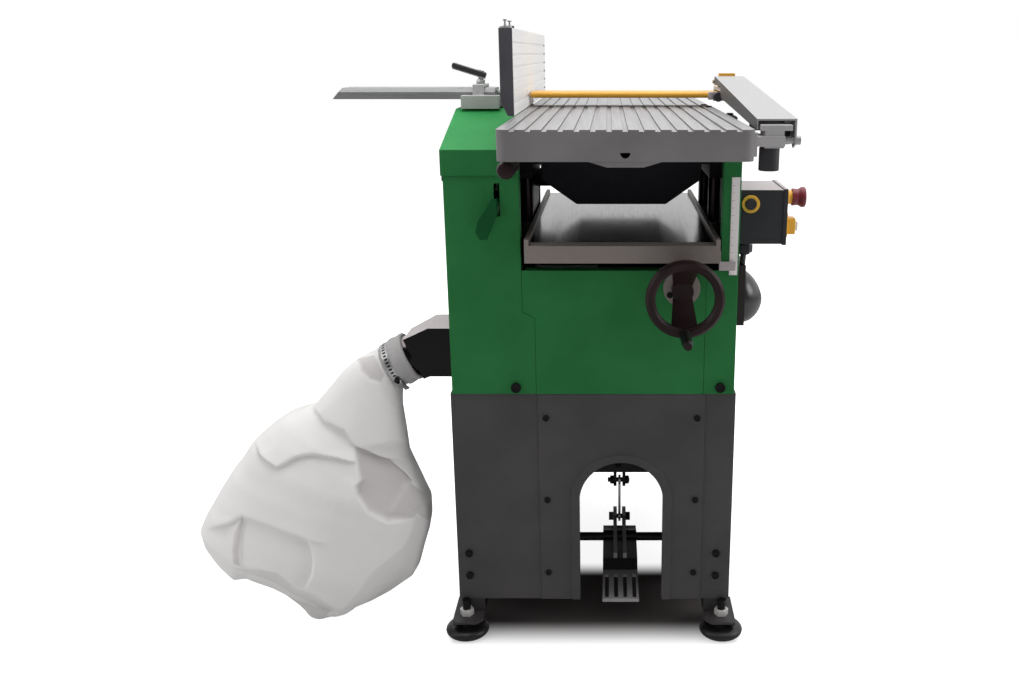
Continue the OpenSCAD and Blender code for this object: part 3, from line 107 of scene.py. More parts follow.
def coated(name, dark, light, grainMm, bumpMm, roughness, specular=0.3):
    # powder coat or paint: blotches some cm wide in the colour, orange peel at grainMm in the gloss
    material, tree, shader, place = startFinish(name, Specular_IOR_Level=specular)
    blotch = addNode(tree, "ShaderNodeTexNoise", {"Scale": 1000 / patchMm["coat"], "Detail": 4.0}, {"Vector": place})
    peel = addNode(tree, "ShaderNodeTexNoise", {"Scale": 1000 / grainMm, "Detail": 2.0}, {"Vector": place})
    spread(tree, shader, (dark, light), roughness, bumpMm, blotch.outputs["Fac"], *[peel.outputs["Fac"]] * 2)
    return material


def machined(name, dark, light, lineMm, runMm, roughness, bumpMm, along=1, metallic=1.0):
    # metal worked in one direction: fine lines runMm long, lineMm apart, along one axis
    material, tree, shader, place = startFinish(name, metallic=metallic)
    stretch = [1000 / lineMm] * 3
    stretch[along] = 1000 / runMm
    turned = addNode(tree, "ShaderNodeMapping", {"Scale": stretch}, {"Vector": place})
    worked = addNode(tree, "ShaderNodeTexNoise", {"Scale": 1.0, "Detail": 3.0}, {"Vector": turned.outputs["Vector"]})
    spread(tree, shader, (dark, light), roughness, bumpMm, *[worked.outputs["Fac"]] * 3)
    return material


def moulded(name, dark, light, grainMm, bumpMm, roughness, ior=1.5, specular=0.4):
    # plastic or rubber from a tool with an eroded texture: tiny grains, a little grease and dust in the gloss
    material, tree, shader, place = startFinish(name, ior=ior, Specular_IOR_Level=specular)
    grain = addNode(tree, "ShaderNodeTexVoronoi", {"Scale": 1000 / grainMm}, {"Vector": place})
    dust = addNode(tree, "ShaderNodeTexNoise", {"Scale": 1000 / patchMm["plastic"], "Detail": 5.0},
                   {"Vector": place}).outputs["Fac"]
    spread(tree, shader, (dark, light), roughness, bumpMm, dust, dust, grain.outputs["Distance"])
    return material


def woven(name, dark, light, threadMm, bumpMm, glow=0.0, foldShadeTint="#e2e0e0"):
    # filter cloth: crossing threads, drawn coarser than the real ones so that they show, with a soft dusty bloom;
    # where the piece's own attribute gives painted shade in the folds, the colour is multiplied by the given tint
    material, tree, shader, place = startFinish(name, Roughness=0.85, Sheen_Weight=0.2, Sheen_Roughness=0.5,
                                                Specular_IOR_Level=0.2, Subsurface_Weight=glow, Subsurface_Scale=0.03,
                                                Subsurface_Radius=(1.0, 1.0, 1.0))
    threads = {}
    for axis in ("X", "Z"):
        threads[axis] = addNode(tree, "ShaderNodeTexWave", {"bands_direction": axis,
                                "Scale": 1000 / threadMm / math.tau}, {"Vector": place}).outputs["Fac"]
    weave = addNode(tree, "ShaderNodeMath", {"operation": "MAXIMUM"}, {0: threads["X"], 1: threads["Z"]})
    shade = addNode(tree, "ShaderNodeTexNoise", {"Scale": 1000 / patchMm["cloth"], "Detail": 4.0}, {"Vector": place})
    tone = addNode(tree, "ShaderNodeValToRGB", {"stops": list(zip(noiseBand["tone"], (dark, light)))},
                   {"Fac": shade.outputs["Fac"]})
    layers = addNode(tree, "ShaderNodeAttribute", {"attribute_name": "paintedFoldShade"})
    tinted = addNode(tree, "ShaderNodeMix", {"data_type": "RGBA", "blend_type": "MULTIPLY", 7: linear(foldShadeTint)},
                     {0: layers.outputs["Fac"], 6: tone.outputs["Color"]})
    relief = addNode(tree, "ShaderNodeBump", {"Distance": bumpMm / 1000}, {"Height": weave.outputs[0]})
    joinUp(tree, shader, {"Base Color": tinted.outputs[2], "Normal": relief.outputs["Normal"]})
    return material


scaleMarks = dict(short=(2.5, 0.35, 147.5), long=(10, 0.5, 149.5))  # mm: pitch, thickness, where the mark ends in x


def printedScale():
    # pinkish white printed strip: short ticks and longer ones, drawn coarser than the 1 mm ticks of a real strip
    material, tree, shader, place = startFinish("white_printed_aluminium_scale", Roughness=0.3, Specular_IOR_Level=0.5)
    split = addNode(tree, "ShaderNodeSeparateXYZ", None, {"Vector": place})
    marks = []
    for pitchMm, thickMm, reachMm in scaleMarks.values():
        step = addNode(tree, "ShaderNodeMath", {"operation": "MULTIPLY", 1: 1000 / pitchMm}, {0: split.outputs["Z"]})
        part = addNode(tree, "ShaderNodeMath", {"operation": "FRACT"}, {0: step.outputs[0]})
        thin = addNode(tree, "ShaderNodeMath", {"operation": "LESS_THAN", 1: thickMm / pitchMm}, {0: part.outputs[0]})
        left = addNode(tree, "ShaderNodeMath", {"operation": "LESS_THAN", 1: at(reachMm, 0, 0).x},
                       {0: split.outputs["X"]})
        marks.append(addNode(tree, "ShaderNodeMath", {"operation": "MULTIPLY"},
                             {0: thin.outputs[0], 1: left.outputs[0]}).outputs[0])
    ink = addNode(tree, "ShaderNodeMath", {"operation": "MAXIMUM"}, {0: marks[0], 1: marks[1]})
    tone = addNode(tree, "ShaderNodeValToRGB", {"stops": [(0.4, "#fff8f8"), (0.6, "#9a9494")]}, {"Fac": ink.outputs[0]})
    joinUp(tree, shader, {"Base Color": tone.outputs["Color"]})
    return material


finish = {
    # baked coats on sheet steel: even colour, faint orange peel
    "greenCoat": coated("green_powder_coat_on_sheet_steel", "#2a733e", "#317c46", 1.4, 0.05, (0.46, 0.56), 0.1),
    # a lighter copy of the green coat for faces that look up: painted light on the lit top
    "topLitGreenCoat": coated("green_powder_coat_painted_lighter_on_top", "#379150", "#3f9b58", 1.4, 0.05, (0.46, 0.56), 0.05),
    "greyCoat": coated("dark_grey_textured_powder_coat", "#484748", "#504e4f", 0.9, 0.10, (0.52, 0.66), 0.2),
    "leverCoat": coated("darker_green_coat_on_lever", "#14502a", "#195a30", 1.2, 0.05, (0.44, 0.54), 0.08),
    # light grey for the pedal's ribs and tread bars, which face the light: painted light
    "pedalLitCoat": coated("pedal_coat_painted_light", "#a3a1a1", "#b1afaf", 1.0, 0.08, (0.45, 0.58)),
    "footCoat": coated("near_black_coat_on_foot_brackets", "#333132", "#3d3a3b", 1.2, 0.08, (0.42, 0.55)),
    "blackCoat": coated("black_paint_on_steel", "#1c1a1c", "#242224", 1.6, 0.04, (0.36, 0.5)),
    "brownBlackCoat": coated("brown_black_paint_on_motor_plate", "#2b2424", "#342c2c", 1.6, 0.05, (0.4, 0.52)),
    "blackOxide": coated("black_oxide_screws", "#0d0c0d", "#141314", 1.0, 0.03, (0.36, 0.5), 0.15),
    "yellowCoat": coated("ochre_yellow_coat_on_aluminium", "#dba33a", "#e5ad43", 1.5, 0.03, (0.36, 0.46), 0.2),
    # sprayed castings: fine speckle, matt
    "castGrey": coated("grey_sprayed_aluminium_casting", "#7c797a", "#888586", 1.1, 0.12, (0.46, 0.6)),
    "paleCast": coated("pale_grey_sprayed_casting", "#b5b3b4", "#c2c0c1", 1.1, 0.10, (0.42, 0.56)),
    # bare and plated metals: the working lines run one way
    "nutZinc": machined("bright_zinc_plated_nuts", "#dad8d6", "#ebe9e7", 1.2, 6, (0.25, 0.36), 0.02, metallic=0.3),
    "zinc": machined("zinc_plated_steel", "#9c9c9c", "#c4c3c3", 1.4, 9, (0.28, 0.42), 0.02),
    "groundSteel": machined("ground_steel", "#a9abad", "#cccdce", 0.7, 18, (0.18, 0.3), 0.01, along=0),
    "darkSteel": machined("hardened_dark_steel", "#3d3f41", "#56585a", 0.9, 12, (0.34, 0.46), 0.02),
    "oiledSteel": machined("oiled_plum_black_columns", "#3b2f33", "#4a3c40", 0.8, 60, (0.22, 0.34), 0.008, along=2,
                           metallic=0.6),
    "tableTop": machined("planed_aluminium_casting", "#8e8d8e", "#a5a4a5", 1.2, 120, (0.34, 0.48), 0.012),
    # dark base on the bed's ground top: painted reflection of the black chip hood above it
    "bedTopPaintedDark": machined("ground_steel_bed_painted_dark", "#333234", "#434244", 0.9, 90, (0.1, 0.2), 0.006),
    "bedRim": machined("brown_tinged_steel_bed_rim", "#8a817e", "#918883", 0.6, 12, (0.4, 0.5), 0.006, along=0,
                       metallic=0.4),
    "anodised": machined("clear_anodised_aluminium", "#eeeeed", "#f6f6f5", 0.8, 160, (0.36, 0.46), 0.006,
                         metallic=0.15),
    "satinAlloy": machined("satin_aluminium_sheet", "#a6a6a7", "#b4b4b4", 0.7, 70, (0.34, 0.44), 0.008, metallic=0.25),
    # darker copy of the arm's aluminium for its left wall: painted shade
    "armSideShaded": machined("arm_side_painted_darker", "#3e3e3f", "#48484a", 0.7, 70, (0.46, 0.58), 0.01, metallic=0.2),
    "barAlloy": machined("grey_aluminium_slide_bar", "#858586", "#929293", 0.9, 60, (0.34, 0.44), 0.01, along=0,
                         metallic=0.2),
    # pale sheet on the duct top, bed pointer and blade sleeve; on the switch box's top it is a painted reflection
    "paleSheetAndSheen": machined("dusty_galvanised_sheet_and_painted_sheen", "#b4abad", "#c4bbbd", 1.2, 30, (0.4, 0.55), 0.01,
                          metallic=0.2),
    # plastics and rubber: eroded grain on black parts, near-mirror gloss on the duct, softer gloss on the motor cover
    "blackAbs": moulded("black_abs", "#2c2a2e", "#353338", 0.8, 0.03, (0.38, 0.5)),
    "hoodAbs": moulded("matt_black_chip_hood_abs", "#25222a", "#2b2830", 0.8, 0.03, (0.5, 0.6), specular=0.2),
    "plumAbs": moulded("plum_black_phenolic", "#291c1e", "#322426", 0.9, 0.03, (0.34, 0.46), specular=0.15),
    "capAbs": moulded("slate_end_cap_abs", "#4a484e", "#545257", 0.8, 0.03, (0.4, 0.5)),
    "boxAbs": moulded("switch_box_abs", "#302f35", "#38373d", 0.8, 0.03, (0.34, 0.44), specular=0.25),
    "glossAbs": moulded("gloss_black_abs", "#080809", "#0d0c0d", 1.2, 0.01, (0.05, 0.1), specular=0.15),
    "coverAbs": moulded("polished_black_motor_cover", "#141215", "#1a171b", 1.2, 0.005, (0.28, 0.36), ior=1.65,
                        specular=0.5),
    "rubber": moulded("black_rubber", "#0e0e0e", "#171617", 0.7, 0.04, (0.34, 0.46), ior=1.52),
    "yellowAbs": moulded("amber_abs", "#ffbd3e", "#ffc84c", 0.9, 0.02, (0.3, 0.42)),
    "paleAbs": moulded("ivory_abs", "#e6dcc8", "#efe6d4", 0.9, 0.02, (0.35, 0.45)),
    "redAbs": moulded("dull_red_abs", "#7c2a33", "#8a323b", 0.9, 0.02, (0.3, 0.42)),
    # cloths: open weave on the bag, closer weave on the cuff
    "bagCloth": woven("woven_filter_cloth", "#efedec", "#f6f4f3", 1.6, 0.05, glow=0.3),
    "cuffCloth": woven("woven_cuff_cloth", "#a7a5a5", "#b3b1b1", 1.8, 0.08),
    "scale": printedScale(),
}
print("finishes", len(finish))

bodyOf = {node: body for body, group in frame["record"]["behaviour"]["bodies"].items() for node in group}


def settle(bm, name, body, keys, smooth=35, replaces=()):
    mesh = bpy.data.meshes.new(name)
    for face in bm.faces:
        face.smooth = True
    bm.to_mesh(mesh)
    bm.free()
    mesh.set_sharp_from_angle(angle=math.radians(smooth))
    for key in keys:
        mesh.materials.append(finish[key])
    piece = bpy.data.objects.new(name, mesh)
    bpy.context.scene.collection.objects.link(piece)
    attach(piece, body)
    if replaces:
        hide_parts(*replaces)
    return piece


def settleMm(bm, name, body, keys, smooth=40, replaces=()):
    # for a piece that was made in mm from the tables' middle
    bmesh.ops.recalc_face_normals(bm, faces=bm.faces)
    for v in bm.verts:
        v.co = at(*v.co)
    return settle(bm, name, body, keys, smooth=smooth, replaces=replaces)


def bevelled(bm, edges, offset, segments):
    bmesh.ops.bevel(bm, geom=edges, offset=offset, offset_type="OFFSET", affect="EDGES", segments=segments, profile=0.5,
                    material=-1, clamp_overlap=True)


def sharpEdges(bm, angle):
    return [e for e in bm.edges if len(e.link_faces) == 2 and e.calc_face_angle(0) > math.radians(angle)]


working = dict(
    weld=0.00002, flat=0.6,  # m between points that are one, degrees between faces that are one
    bendWide=4, bendLong=6, bendSteps=4, edgeSteps=2,  # a bent corner's least width and length, in bend radii
    screwSides=12, screwArea=2e-4, screwFacing=0.99,  # a screw's end: round, small in m2, facing along y
)


def dressed(node, keys, edge=0.5, bend=0.0, top=None, topNormal=0.94, angle=32, spots=(), sockets=0.0):
    # copy of a CAD node with its sharp edges broken by edge mm and wide sheet corners bent to bend mm;
    # top is the finish of faces that look up, spots give the faces in a box another finish,
    # sockets sink a recess in the ends of screws
    bm = bmesh.new()
    bm.from_mesh(nodes[node].data)
    bmesh.ops.remove_doubles(bm, verts=bm.verts, dist=working["weld"])
    bmesh.ops.dissolve_limit(bm, angle_limit=math.radians(working["flat"]), verts=bm.verts, edges=bm.edges)
    if bend:
        radius = bend / 1000
        wide = []
        for e in sharpEdges(bm, angle):
            length = max(e.calc_length(), 1e-6)
            narrowest = min(f.calc_area() for f in e.link_faces) / length
            if narrowest > radius * working["bendWide"] and length > radius * working["bendLong"]:
                wide.append(e)
        if wide:
            bevelled(bm, wide, radius, working["bendSteps"])
    if edge:
        bevelled(bm, sharpEdges(bm, angle), edge / 1000, working["edgeSteps"])
    if sockets:
        ends = [f for f in bm.faces if len(f.verts) > working["screwSides"] and f.calc_area() < working["screwArea"]
                and abs(f.normal.y) > working["screwFacing"]]
        bmesh.ops.inset_individual(bm, faces=ends, thickness=sockets / 1000, depth=-sockets / 1000)
    if top is not None:
        for face in bm.faces:
            if face.normal.z > topNormal:
                face.material_index = top
    for index, low, high in spots:
        low, high = at(*low), at(*high)
        for face in bm.faces:
            if all(a <= c <= b for a, c, b in zip(low, face.calc_center_median(), high)):
                face.material_index = index
    piece = settle(bm, "dressed_" + node, bodyOf[node], keys, replaces=(node,))
    even = piece.modifiers.new("even", "WEIGHTED_NORMAL")
    even.keep_sharp = True


far = 2000  # mm, beyond the machine
dressing = {
    "stand_side_panels": dict(keys=["greyCoat"], edge=0.4, bend=2.5),
    "stand_end_panels": dict(keys=["greyCoat"], edge=1.8),
    "fasteners": dict(keys=["blackOxide"], edge=0.8, sockets=1.6),
    "foot_brackets": dict(keys=["footCoat", "nutZinc", "blackOxide"], edge=0.6, spots=[
        (index, (x - reach, y - reach, low), (x + reach, y + reach, high)) for x in (150, -230) for y in (-278.5, 238.5)
        for index, reach, low, high in ((1, 10.6, 18, 27.6), (1, 10.6, 32.4, 42.6), (2, 8, 42.7, 62))]),
    "foot_pads": dict(keys=["rubber"], edge=0.6),
    "pedal_crossmember": dict(keys=["blackCoat"], edge=0.6),
    "pedal_link": dict(keys=["zinc"], edge=0.4),
    # ribs and tread bars take the light grey and the plate stays black: painted light where the pedal faces up, painted
    # shade on its plate
    "pedal": dict(keys=["blackCoat", "pedalLitCoat"], edge=0.6,
                  spots=[(1, (-13.5, -167, 58), (-6.9, 0, 130)), (1, (1.5, -167, 58), (8.1, 0, 130)),
                         (1, (-40, -270, 0), (40, -178, 80))]),
    "wheel_axle": dict(keys=["blackCoat"], edge=0.5),
    "wheel_left": dict(keys=["rubber"], edge=0.6),
    "wheel_right": dict(keys=["rubber"], edge=0.6),
    "base_frame": dict(keys=["blackCoat", "oiledSteel"], edge=0.6, spots=[(1, (-far, -far, 400), (far, far, far))]),
    "head_frame": dict(keys=["blackCoat"], edge=0.6),
    "left_housing": dict(keys=["greenCoat"], edge=0.4, bend=3.0),
    # faces of the top cover that look up take the lighter green: painted light
    "left_top_cover": dict(keys=["greenCoat", "topLitGreenCoat"], edge=0.4, bend=2.5, angle=14, top=1, topNormal=0.6),
    "front_panel": dict(keys=["greenCoat"], edge=0.4),
    "rear_panel": dict(keys=["greenCoat"], edge=0.4),
    "right_cover": dict(keys=["greenCoat"], edge=0.4, bend=3.0),
    "depth_scale": dict(keys=["scale"], edge=0.15),
    "lift_gearbox": dict(keys=["blackCoat", "bedRim", "blackOxide"], edge=0.9,
                         spots=[(1, (-far, -far, 0), (far, -275.1, far)), (2, (60, -far, 518), (70, -284.05, 528))]),
    "lift_screw": dict(keys=["groundSteel"], edge=0.6),
    # the bed's top faces take the dark finish: painted reflection of the chip hood
    "thicknesser_bed": dict(keys=["bedRim", "bedTopPaintedDark", "paleSheetAndSheen"], edge=0.7, top=1, topNormal=0.97,
                            spots=[(0, (-far, -far, 599), (far, far, 610)), (2, (130.9, -far, 553), (161, -276, 570))]),
    "handwheel": dict(keys=["plumAbs", "bedRim"], edge=1.2, spots=[(1, (60, -284, 512), (102, 0, 552))]),
    "handwheel_grip": dict(keys=["rubber"], edge=0.6),
    "motor": dict(keys=["blackCoat", "brownBlackCoat", "coverAbs"], edge=1.0, angle=24,
                  spots=[(1, (185.5, -far, 0), (197.2, far, far)), (2, (197.2, -far, 0), (far, far, far))]),
    "motor_shaft": dict(keys=["zinc"], edge=0.5),
    "drive_belt": dict(keys=["rubber"], edge=0.4),
    "fan_housing": dict(keys=["blackCoat"], edge=0.5),
    "dust_duct": dict(keys=["glossAbs", "paleSheetAndSheen"], edge=1.2, top=1, topNormal=0.6),
    "feed_gearbox": dict(keys=["blackCoat"], edge=0.8),
    "cutter_bearings": dict(keys=["groundSteel"], edge=0.4),
    "cutterblock": dict(keys=["groundSteel"], edge=0.4),
    "knives": dict(keys=["groundSteel"], edge=0.2),
    "infeed_roller": dict(keys=["groundSteel"], edge=0.3),
    "outfeed_roller": dict(keys=["groundSteel"], edge=0.4),
    "kickback_fingers": dict(keys=["darkSteel"], edge=0.3),
    "chip_hood": dict(keys=["hoodAbs"], edge=1.0),
    "feed_lever": dict(keys=["leverCoat"], edge=0.8),
    "outfeed_table": dict(keys=["castGrey", "tableTop"], edge=0.6, top=1),
    "infeed_table": dict(keys=["castGrey", "tableTop"], edge=0.6, top=1),
    "depth_knob": dict(keys=["blackAbs"], edge=0.8),
    "table_lock": dict(keys=["plumAbs"], edge=0.8),
    # the box's top faces take the pale finish: painted reflection on the black box
    "switch_box": dict(keys=["boxAbs", "paleSheetAndSheen"], edge=1.6, top=1),
    "button_bezels": dict(keys=["yellowAbs"], edge=0.6),
    "stop_button": dict(keys=["redAbs"], edge=0.8),
    "start_button": dict(keys=["yellowAbs", "paleAbs"], edge=1.2, spots=[(1, (258.05, -far, 0), (far, far, far))]),
    "reset_button": dict(keys=["blackAbs"], edge=0.8),
    "fence_guide": dict(keys=["paleCast"], edge=0.9),
    "fence_bar": dict(keys=["barAlloy"], edge=0.7),
    "fence_plate": dict(keys=["anodised"], edge=0.4),
    "fence_caps": dict(keys=["capAbs"], edge=0.6),
    "guard_bracket": dict(keys=["paleCast"], edge=0.8),
    # the arm's left wall takes the darker finish: painted shade on the side away from the light
    "guard_arm": dict(keys=["satinAlloy", "armSideShaded"], edge=0.4, spots=[(1, (0, -far, 0), (147.9, far, far))]),
    "guard_carrier": dict(keys=["satinAlloy", "yellowCoat"], edge=0.6, spots=[(1, (-far, 9, 783), (far, 23, far))]),
    "guard_blade": dict(keys=["yellowCoat"], edge=0.0),
    "blade_knob": dict(keys=["blackAbs"], edge=0.8),
    "guard_knob": dict(keys=["blackAbs"], edge=1.0),
}
for node, settings in dressing.items():
    dressed(node, **settings)
print("dressed CAD pieces", len(dressing))

eye = (-17, -1604, 840)  # mm, where the photograph was taken from

bag = dict(
    around=300, along=220, frontShare=0.6,  # points in a ring and rings, more of a ring's points on the front half
    planeY=-242, neckY=-230, neckRings=14, neckPower=0.7,  # the bag's middle plane, and how it starts at the neck
    depth=0.62, deepest=104, fullness=0.78,  # depth to half width, the most depth, how square a ring is
    slim=0.032, viewY=-240,  # the near side looks larger than the middle plane; lines below are seen at viewY
    belly=18, bellyFrom=0.68, bellyOver=0.3,  # rounder towards the lowest point
    fadeTop=(4, 14), fadeLow=(4, 16),  # rings without folds at each end, rings over which the folds grow
    foldFacing=0.45, greyFacing=0.15, backFacing=0.5,  # how far a point faces the front or the back to take part
    backLift=5, backCreases=[(1.0, 31, 57), (1.0, -83, 37), (0.6, 17, -23)],  # share, wavelengths in x and z
    ledgeEnds=0.1, ledgeEdge=1.6, ledgeSunk=0.5, bendEnds=0.06, greyEdge=2, weld=0.01, ease=0.4,
    # left and right outline from the neck to the lowest point
    left=[(-346, 434), (-356, 430), (-377, 421), (-399, 404), (-423, 376), (-446, 351), (-457, 349), (-487, 338),
          (-511, 322), (-538, 299), (-555, 275), (-568, 260), (-590, 228), (-616, 187), (-625, 169), (-622, 150),
          (-609, 123), (-584, 90), (-553, 71), (-524, 53), (-496, 30), (-480, 15), (-466, 9)],
    right=[(-317, 377), (-316, 368), (-316, 357), (-315, 342), (-311, 311), (-308, 275), (-303, 260), (-290, 228),
           (-279, 197), (-279, 171), (-283, 150), (-292, 121), (-299, 96), (-309, 79), (-345, 53), (-376, 36),
           (-408, 23), (-432, 15), (-451, 9)],
    # ledges: cloth hangs over a line; line in the front view, height, reach on its left, reach on its right
    ledges=[
        ([(-450, 351), (-430, 326), (-402, 311), (-389, 289), (-368, 273), (-347, 265), (-325, 260),
          (-304, 261)], 7, 60, 18),
        ([(-535, 291), (-532, 273), (-520, 259), (-506, 253), (-495, 259), (-479, 269), (-456, 274), (-420, 269),
          (-384, 261)], 7, 34, 24),
        ([(-311, 170), (-349, 168), (-374, 183), (-389, 209), (-390, 224), (-382, 232), (-386, 262),
          (-390, 285)], 9, 28, 34),
        ([(-368, 273), (-347, 264), (-316, 232), (-280, 201)], 6, 20, 16),
        ([(-622, 151), (-589, 161), (-566, 173), (-526, 159), (-497, 146), (-472, 136), (-440, 128)], 6.5, 50, 22),
        ([(-578, 90), (-577, 117), (-572, 142), (-566, 171)], 5.5, 22, 14),
        ([(-472, 136), (-467, 121), (-465, 100), (-469, 75), (-483, 50)], 5.5, 18, 26),
        ([(-310, 183), (-298, 191), (-278, 200)], 6, 16, 11),
        ([(-377, 419), (-372, 402), (-361, 389), (-345, 384), (-337, 361), (-327, 349), (-316, 353)], -5, 16, 22),
    ],
    # bends: past a line the cloth falls away on its right side; line, slope, reach
    bends=[
        ([(-430, 12), (-399, 49), (-382, 75), (-357, 98), (-327, 123), (-315, 146), (-308, 175)], 1.0, 60),
        ([(-590, 86), (-548, 83), (-522, 77), (-494, 51), (-468, 41), (-432, 12)], 1.1, 40),
        ([(-349, 168), (-374, 183), (-389, 209), (-390, 224), (-382, 232), (-386, 262), (-390, 285)], 0.35, 50),
    ],
    # painted shade in the folds and on the facets that face down: outline in the front view, how grey it gets
    paintedFoldShade=[
        ([(-390, 285), (-386, 262), (-382, 232), (-390, 224), (-389, 209), (-374, 183), (-349, 168), (-311, 170),
          (-280, 201), (-316, 232), (-347, 264), (-368, 273)], 1.0),
        ([(-310, 183), (-298, 191), (-274, 202), (-274, 168), (-292, 165)], 1.0),
        ([(-535, 291), (-533, 275), (-522, 260), (-506, 252), (-512, 262), (-524, 272)], 1.0),
        ([(-566, 171), (-572, 142), (-577, 117), (-578, 90), (-586, 95), (-585, 120), (-580, 145)], 1.0),
        ([(-377, 419), (-372, 402), (-361, 389), (-345, 384), (-340, 395), (-352, 425)], 1.0),
        ([(-308, 175), (-315, 146), (-327, 123), (-357, 98), (-382, 75), (-399, 49), (-430, 12), (-376, 24), (-300, 66),
          (-276, 121), (-270, 171)], 0.25),
        ([(-590, 86), (-548, 83), (-522, 77), (-494, 51), (-468, 41), (-432, 12), (-466, 2), (-500, 22),
          (-560, 60)], 0.6),
    ],
)


def alongLine(points, count):
    # evenly spaced points on a line through the given ones
    points = numpy.array(points, float)
    run = numpy.concatenate([[0], numpy.cumsum(numpy.hypot(*numpy.diff(points, axis=0).T))])
    want = numpy.linspace(0, run[-1], count)
    return numpy.stack([numpy.interp(want, run, points[:, i]) for i in (0, 1)], axis=1)


def fromLine(x, z, points):
    # distance of each point from a line, positive on the line's left, and how far along the line it lies, 0 to 1
    gap, sign, place = numpy.full(x.shape, 1e9), numpy.ones(x.shape), numpy.zeros(x.shape)
    lengths = [math.dist(a, b) for a, b in zip(points, points[1:])]
    gone = 0.0
    for (ax, az), (bx, bz), length in zip(points, points[1:], lengths):
        dx, dz = bx - ax, bz - az
        t = numpy.clip(((x - ax) * dx + (z - az) * dz) / length ** 2, 0, 1)
        here = numpy.hypot(x - ax - dx * t, z - az - dz * t)
        nearer = here < gap
        gap = numpy.where(nearer, here, gap)
        sign = numpy.where(nearer, numpy.where((z - az) * dx - (x - ax) * dz > 0, 1, -1), sign)
        place = numpy.where(nearer, (gone + t * length) / sum(lengths), place)
        gone += length
    return gap * sign, place


def insideOf(x, z, points):
    # 1 inside a closed line, 0 outside, with a soft edge
    closed = points + points[:1]
    inside = numpy.zeros(x.shape, bool)
    for (ax, az), (bx, bz) in zip(points, closed[1:]):
        crosses = (az > z) != (bz > z)
        inside ^= crosses & (x < ax + (z - az) * (bx - ax) / ((bz - az) or 1))
    gap = numpy.abs(fromLine(x, z, closed)[0])
    return numpy.clip(0.5 + numpy.where(inside, gap, -gap) / bag["greyEdge"], 0, 1)


def ramp(values):
    return numpy.clip(values, 0, 1)


def foldLift(x, z):
    # how far the folds lift the cloth towards the front at points of the front view
    lift = numpy.zeros(x.shape)
    for points, height, left, right in bag["ledges"]:
        gap, place = fromLine(x, z, points)
        ends = ramp(numpy.minimum(place, 1 - place) / bag["ledgeEnds"])
        raised = numpy.exp(-numpy.abs(gap) / left) * height
        sunk = -bag["ledgeSunk"] * height * numpy.exp(-numpy.abs(gap) / right)
        edge = 0.5 + 0.5 * numpy.tanh(gap / bag["ledgeEdge"])
        lift += ends * (edge * raised + (1 - edge) * sunk)
    for points, slope, reach in bag["bends"]:
        gap, place = fromLine(x, z, points)
        ends = ramp(numpy.minimum(place, 1 - place) / bag["bendEnds"])
        lift -= ends * slope * reach * (1 - numpy.exp(-numpy.clip(-gap, 0, None) / reach))
    return lift


def makeBag():
    around, along = bag["around"], bag["along"]
    left, right = alongLine(bag["left"], along), alongLine(bag["right"], along)
    bm = bmesh.new()
    bmesh.ops.create_grid(bm, x_segments=around, y_segments=along - 1, size=0.5)
    layer = bm.verts.layers.float.new("paintedFoldShade")
    bm.verts.ensure_lookup_table()
    turn = numpy.array([v.co.x + 0.5 for v in bm.verts]) * math.tau
    ring = numpy.rint(numpy.array([v.co.y + 0.5 for v in bm.verts]) * (along - 1)).astype(int).clip(0, along - 1)
    turn = turn - bag["frontShare"] * numpy.cos(turn)
    wide, front = numpy.cos(turn), numpy.sin(turn)

    # a ring's half width, depth and middle plane: round at the neck, flatter below it
    middle, across = (left + right) / 2, (right - left) / 2
    half = numpy.hypot(*across.T)
    low = ramp((numpy.arange(along) / along - bag["bellyFrom"]) / bag["bellyOver"])
    fuller = low * bag["belly"] * (1 - numpy.exp(-half / bag["belly"]))
    deep = numpy.minimum(bag["deepest"], half * bag["depth"] + fuller)
    rounded = ramp(numpy.arange(along) / bag["neckRings"]) ** bag["neckPower"]
    deep = half + (deep - half) * rounded
    planeY = bag["neckY"] + (bag["planeY"] - bag["neckY"]) * rounded
    wide = wide * (1 - bag["slim"] * rounded[ring])
    x = middle[ring, 0] + across[ring, 0] * wide
    z = middle[ring, 1] + across[ring, 1] * wide
    full = numpy.sign(front) * numpy.abs(front) ** (1 + (bag["fullness"] - 1) * rounded[ring])
    y = planeY[ring] + deep[ring] * full

    # folds on the front where the eye sees them, soft creases on the back
    reach = (bag["viewY"] - eye[1]) / (y - eye[1])
    seenX, seenZ = eye[0] + (x - eye[0]) * reach, eye[2] + (z - eye[2]) * reach
    (bareTop, growTop), (bareLow, growLow) = bag["fadeTop"], bag["fadeLow"]
    neck = ramp((ring - bareTop) / growTop) * ramp((along - bareLow - ring) / growLow)
    creases = sum(share * numpy.sin(x / waveX + z / waveZ) for share, waveX, waveZ in bag["backCreases"])
    y = y - foldLift(seenX, seenZ) * ramp(-front / bag["foldFacing"]) * neck
    y = y + ramp(front / bag["backFacing"]) * neck * bag["backLift"] * creases
    # painted shade in the folds, kept on the mesh as an attribute
    grey = numpy.zeros(x.shape)
    for points, tone in bag["paintedFoldShade"]:
        grey = numpy.maximum(grey, tone * insideOf(seenX, seenZ, points) * ramp(-front / bag["greyFacing"]))
    for v, px, py, pz, g in zip(bm.verts, x, y, z, grey):
        v.co = (px, py, pz)
        v[layer] = g
    bmesh.ops.remove_doubles(bm, verts=bm.verts, dist=bag["weld"])
    bmesh.ops.holes_fill(bm, edges=[e for e in bm.edges if e.is_boundary], sides=0)
    bmesh.ops.smooth_vert(bm, verts=bm.verts, factor=bag["ease"], use_axis_x=True, use_axis_y=True, use_axis_z=True)
    settleMm(bm, "chip_bag_shell", "machine", ["bagCloth"], smooth=75, replaces=("dust_bag",))


makeBag()
print("chip bag")

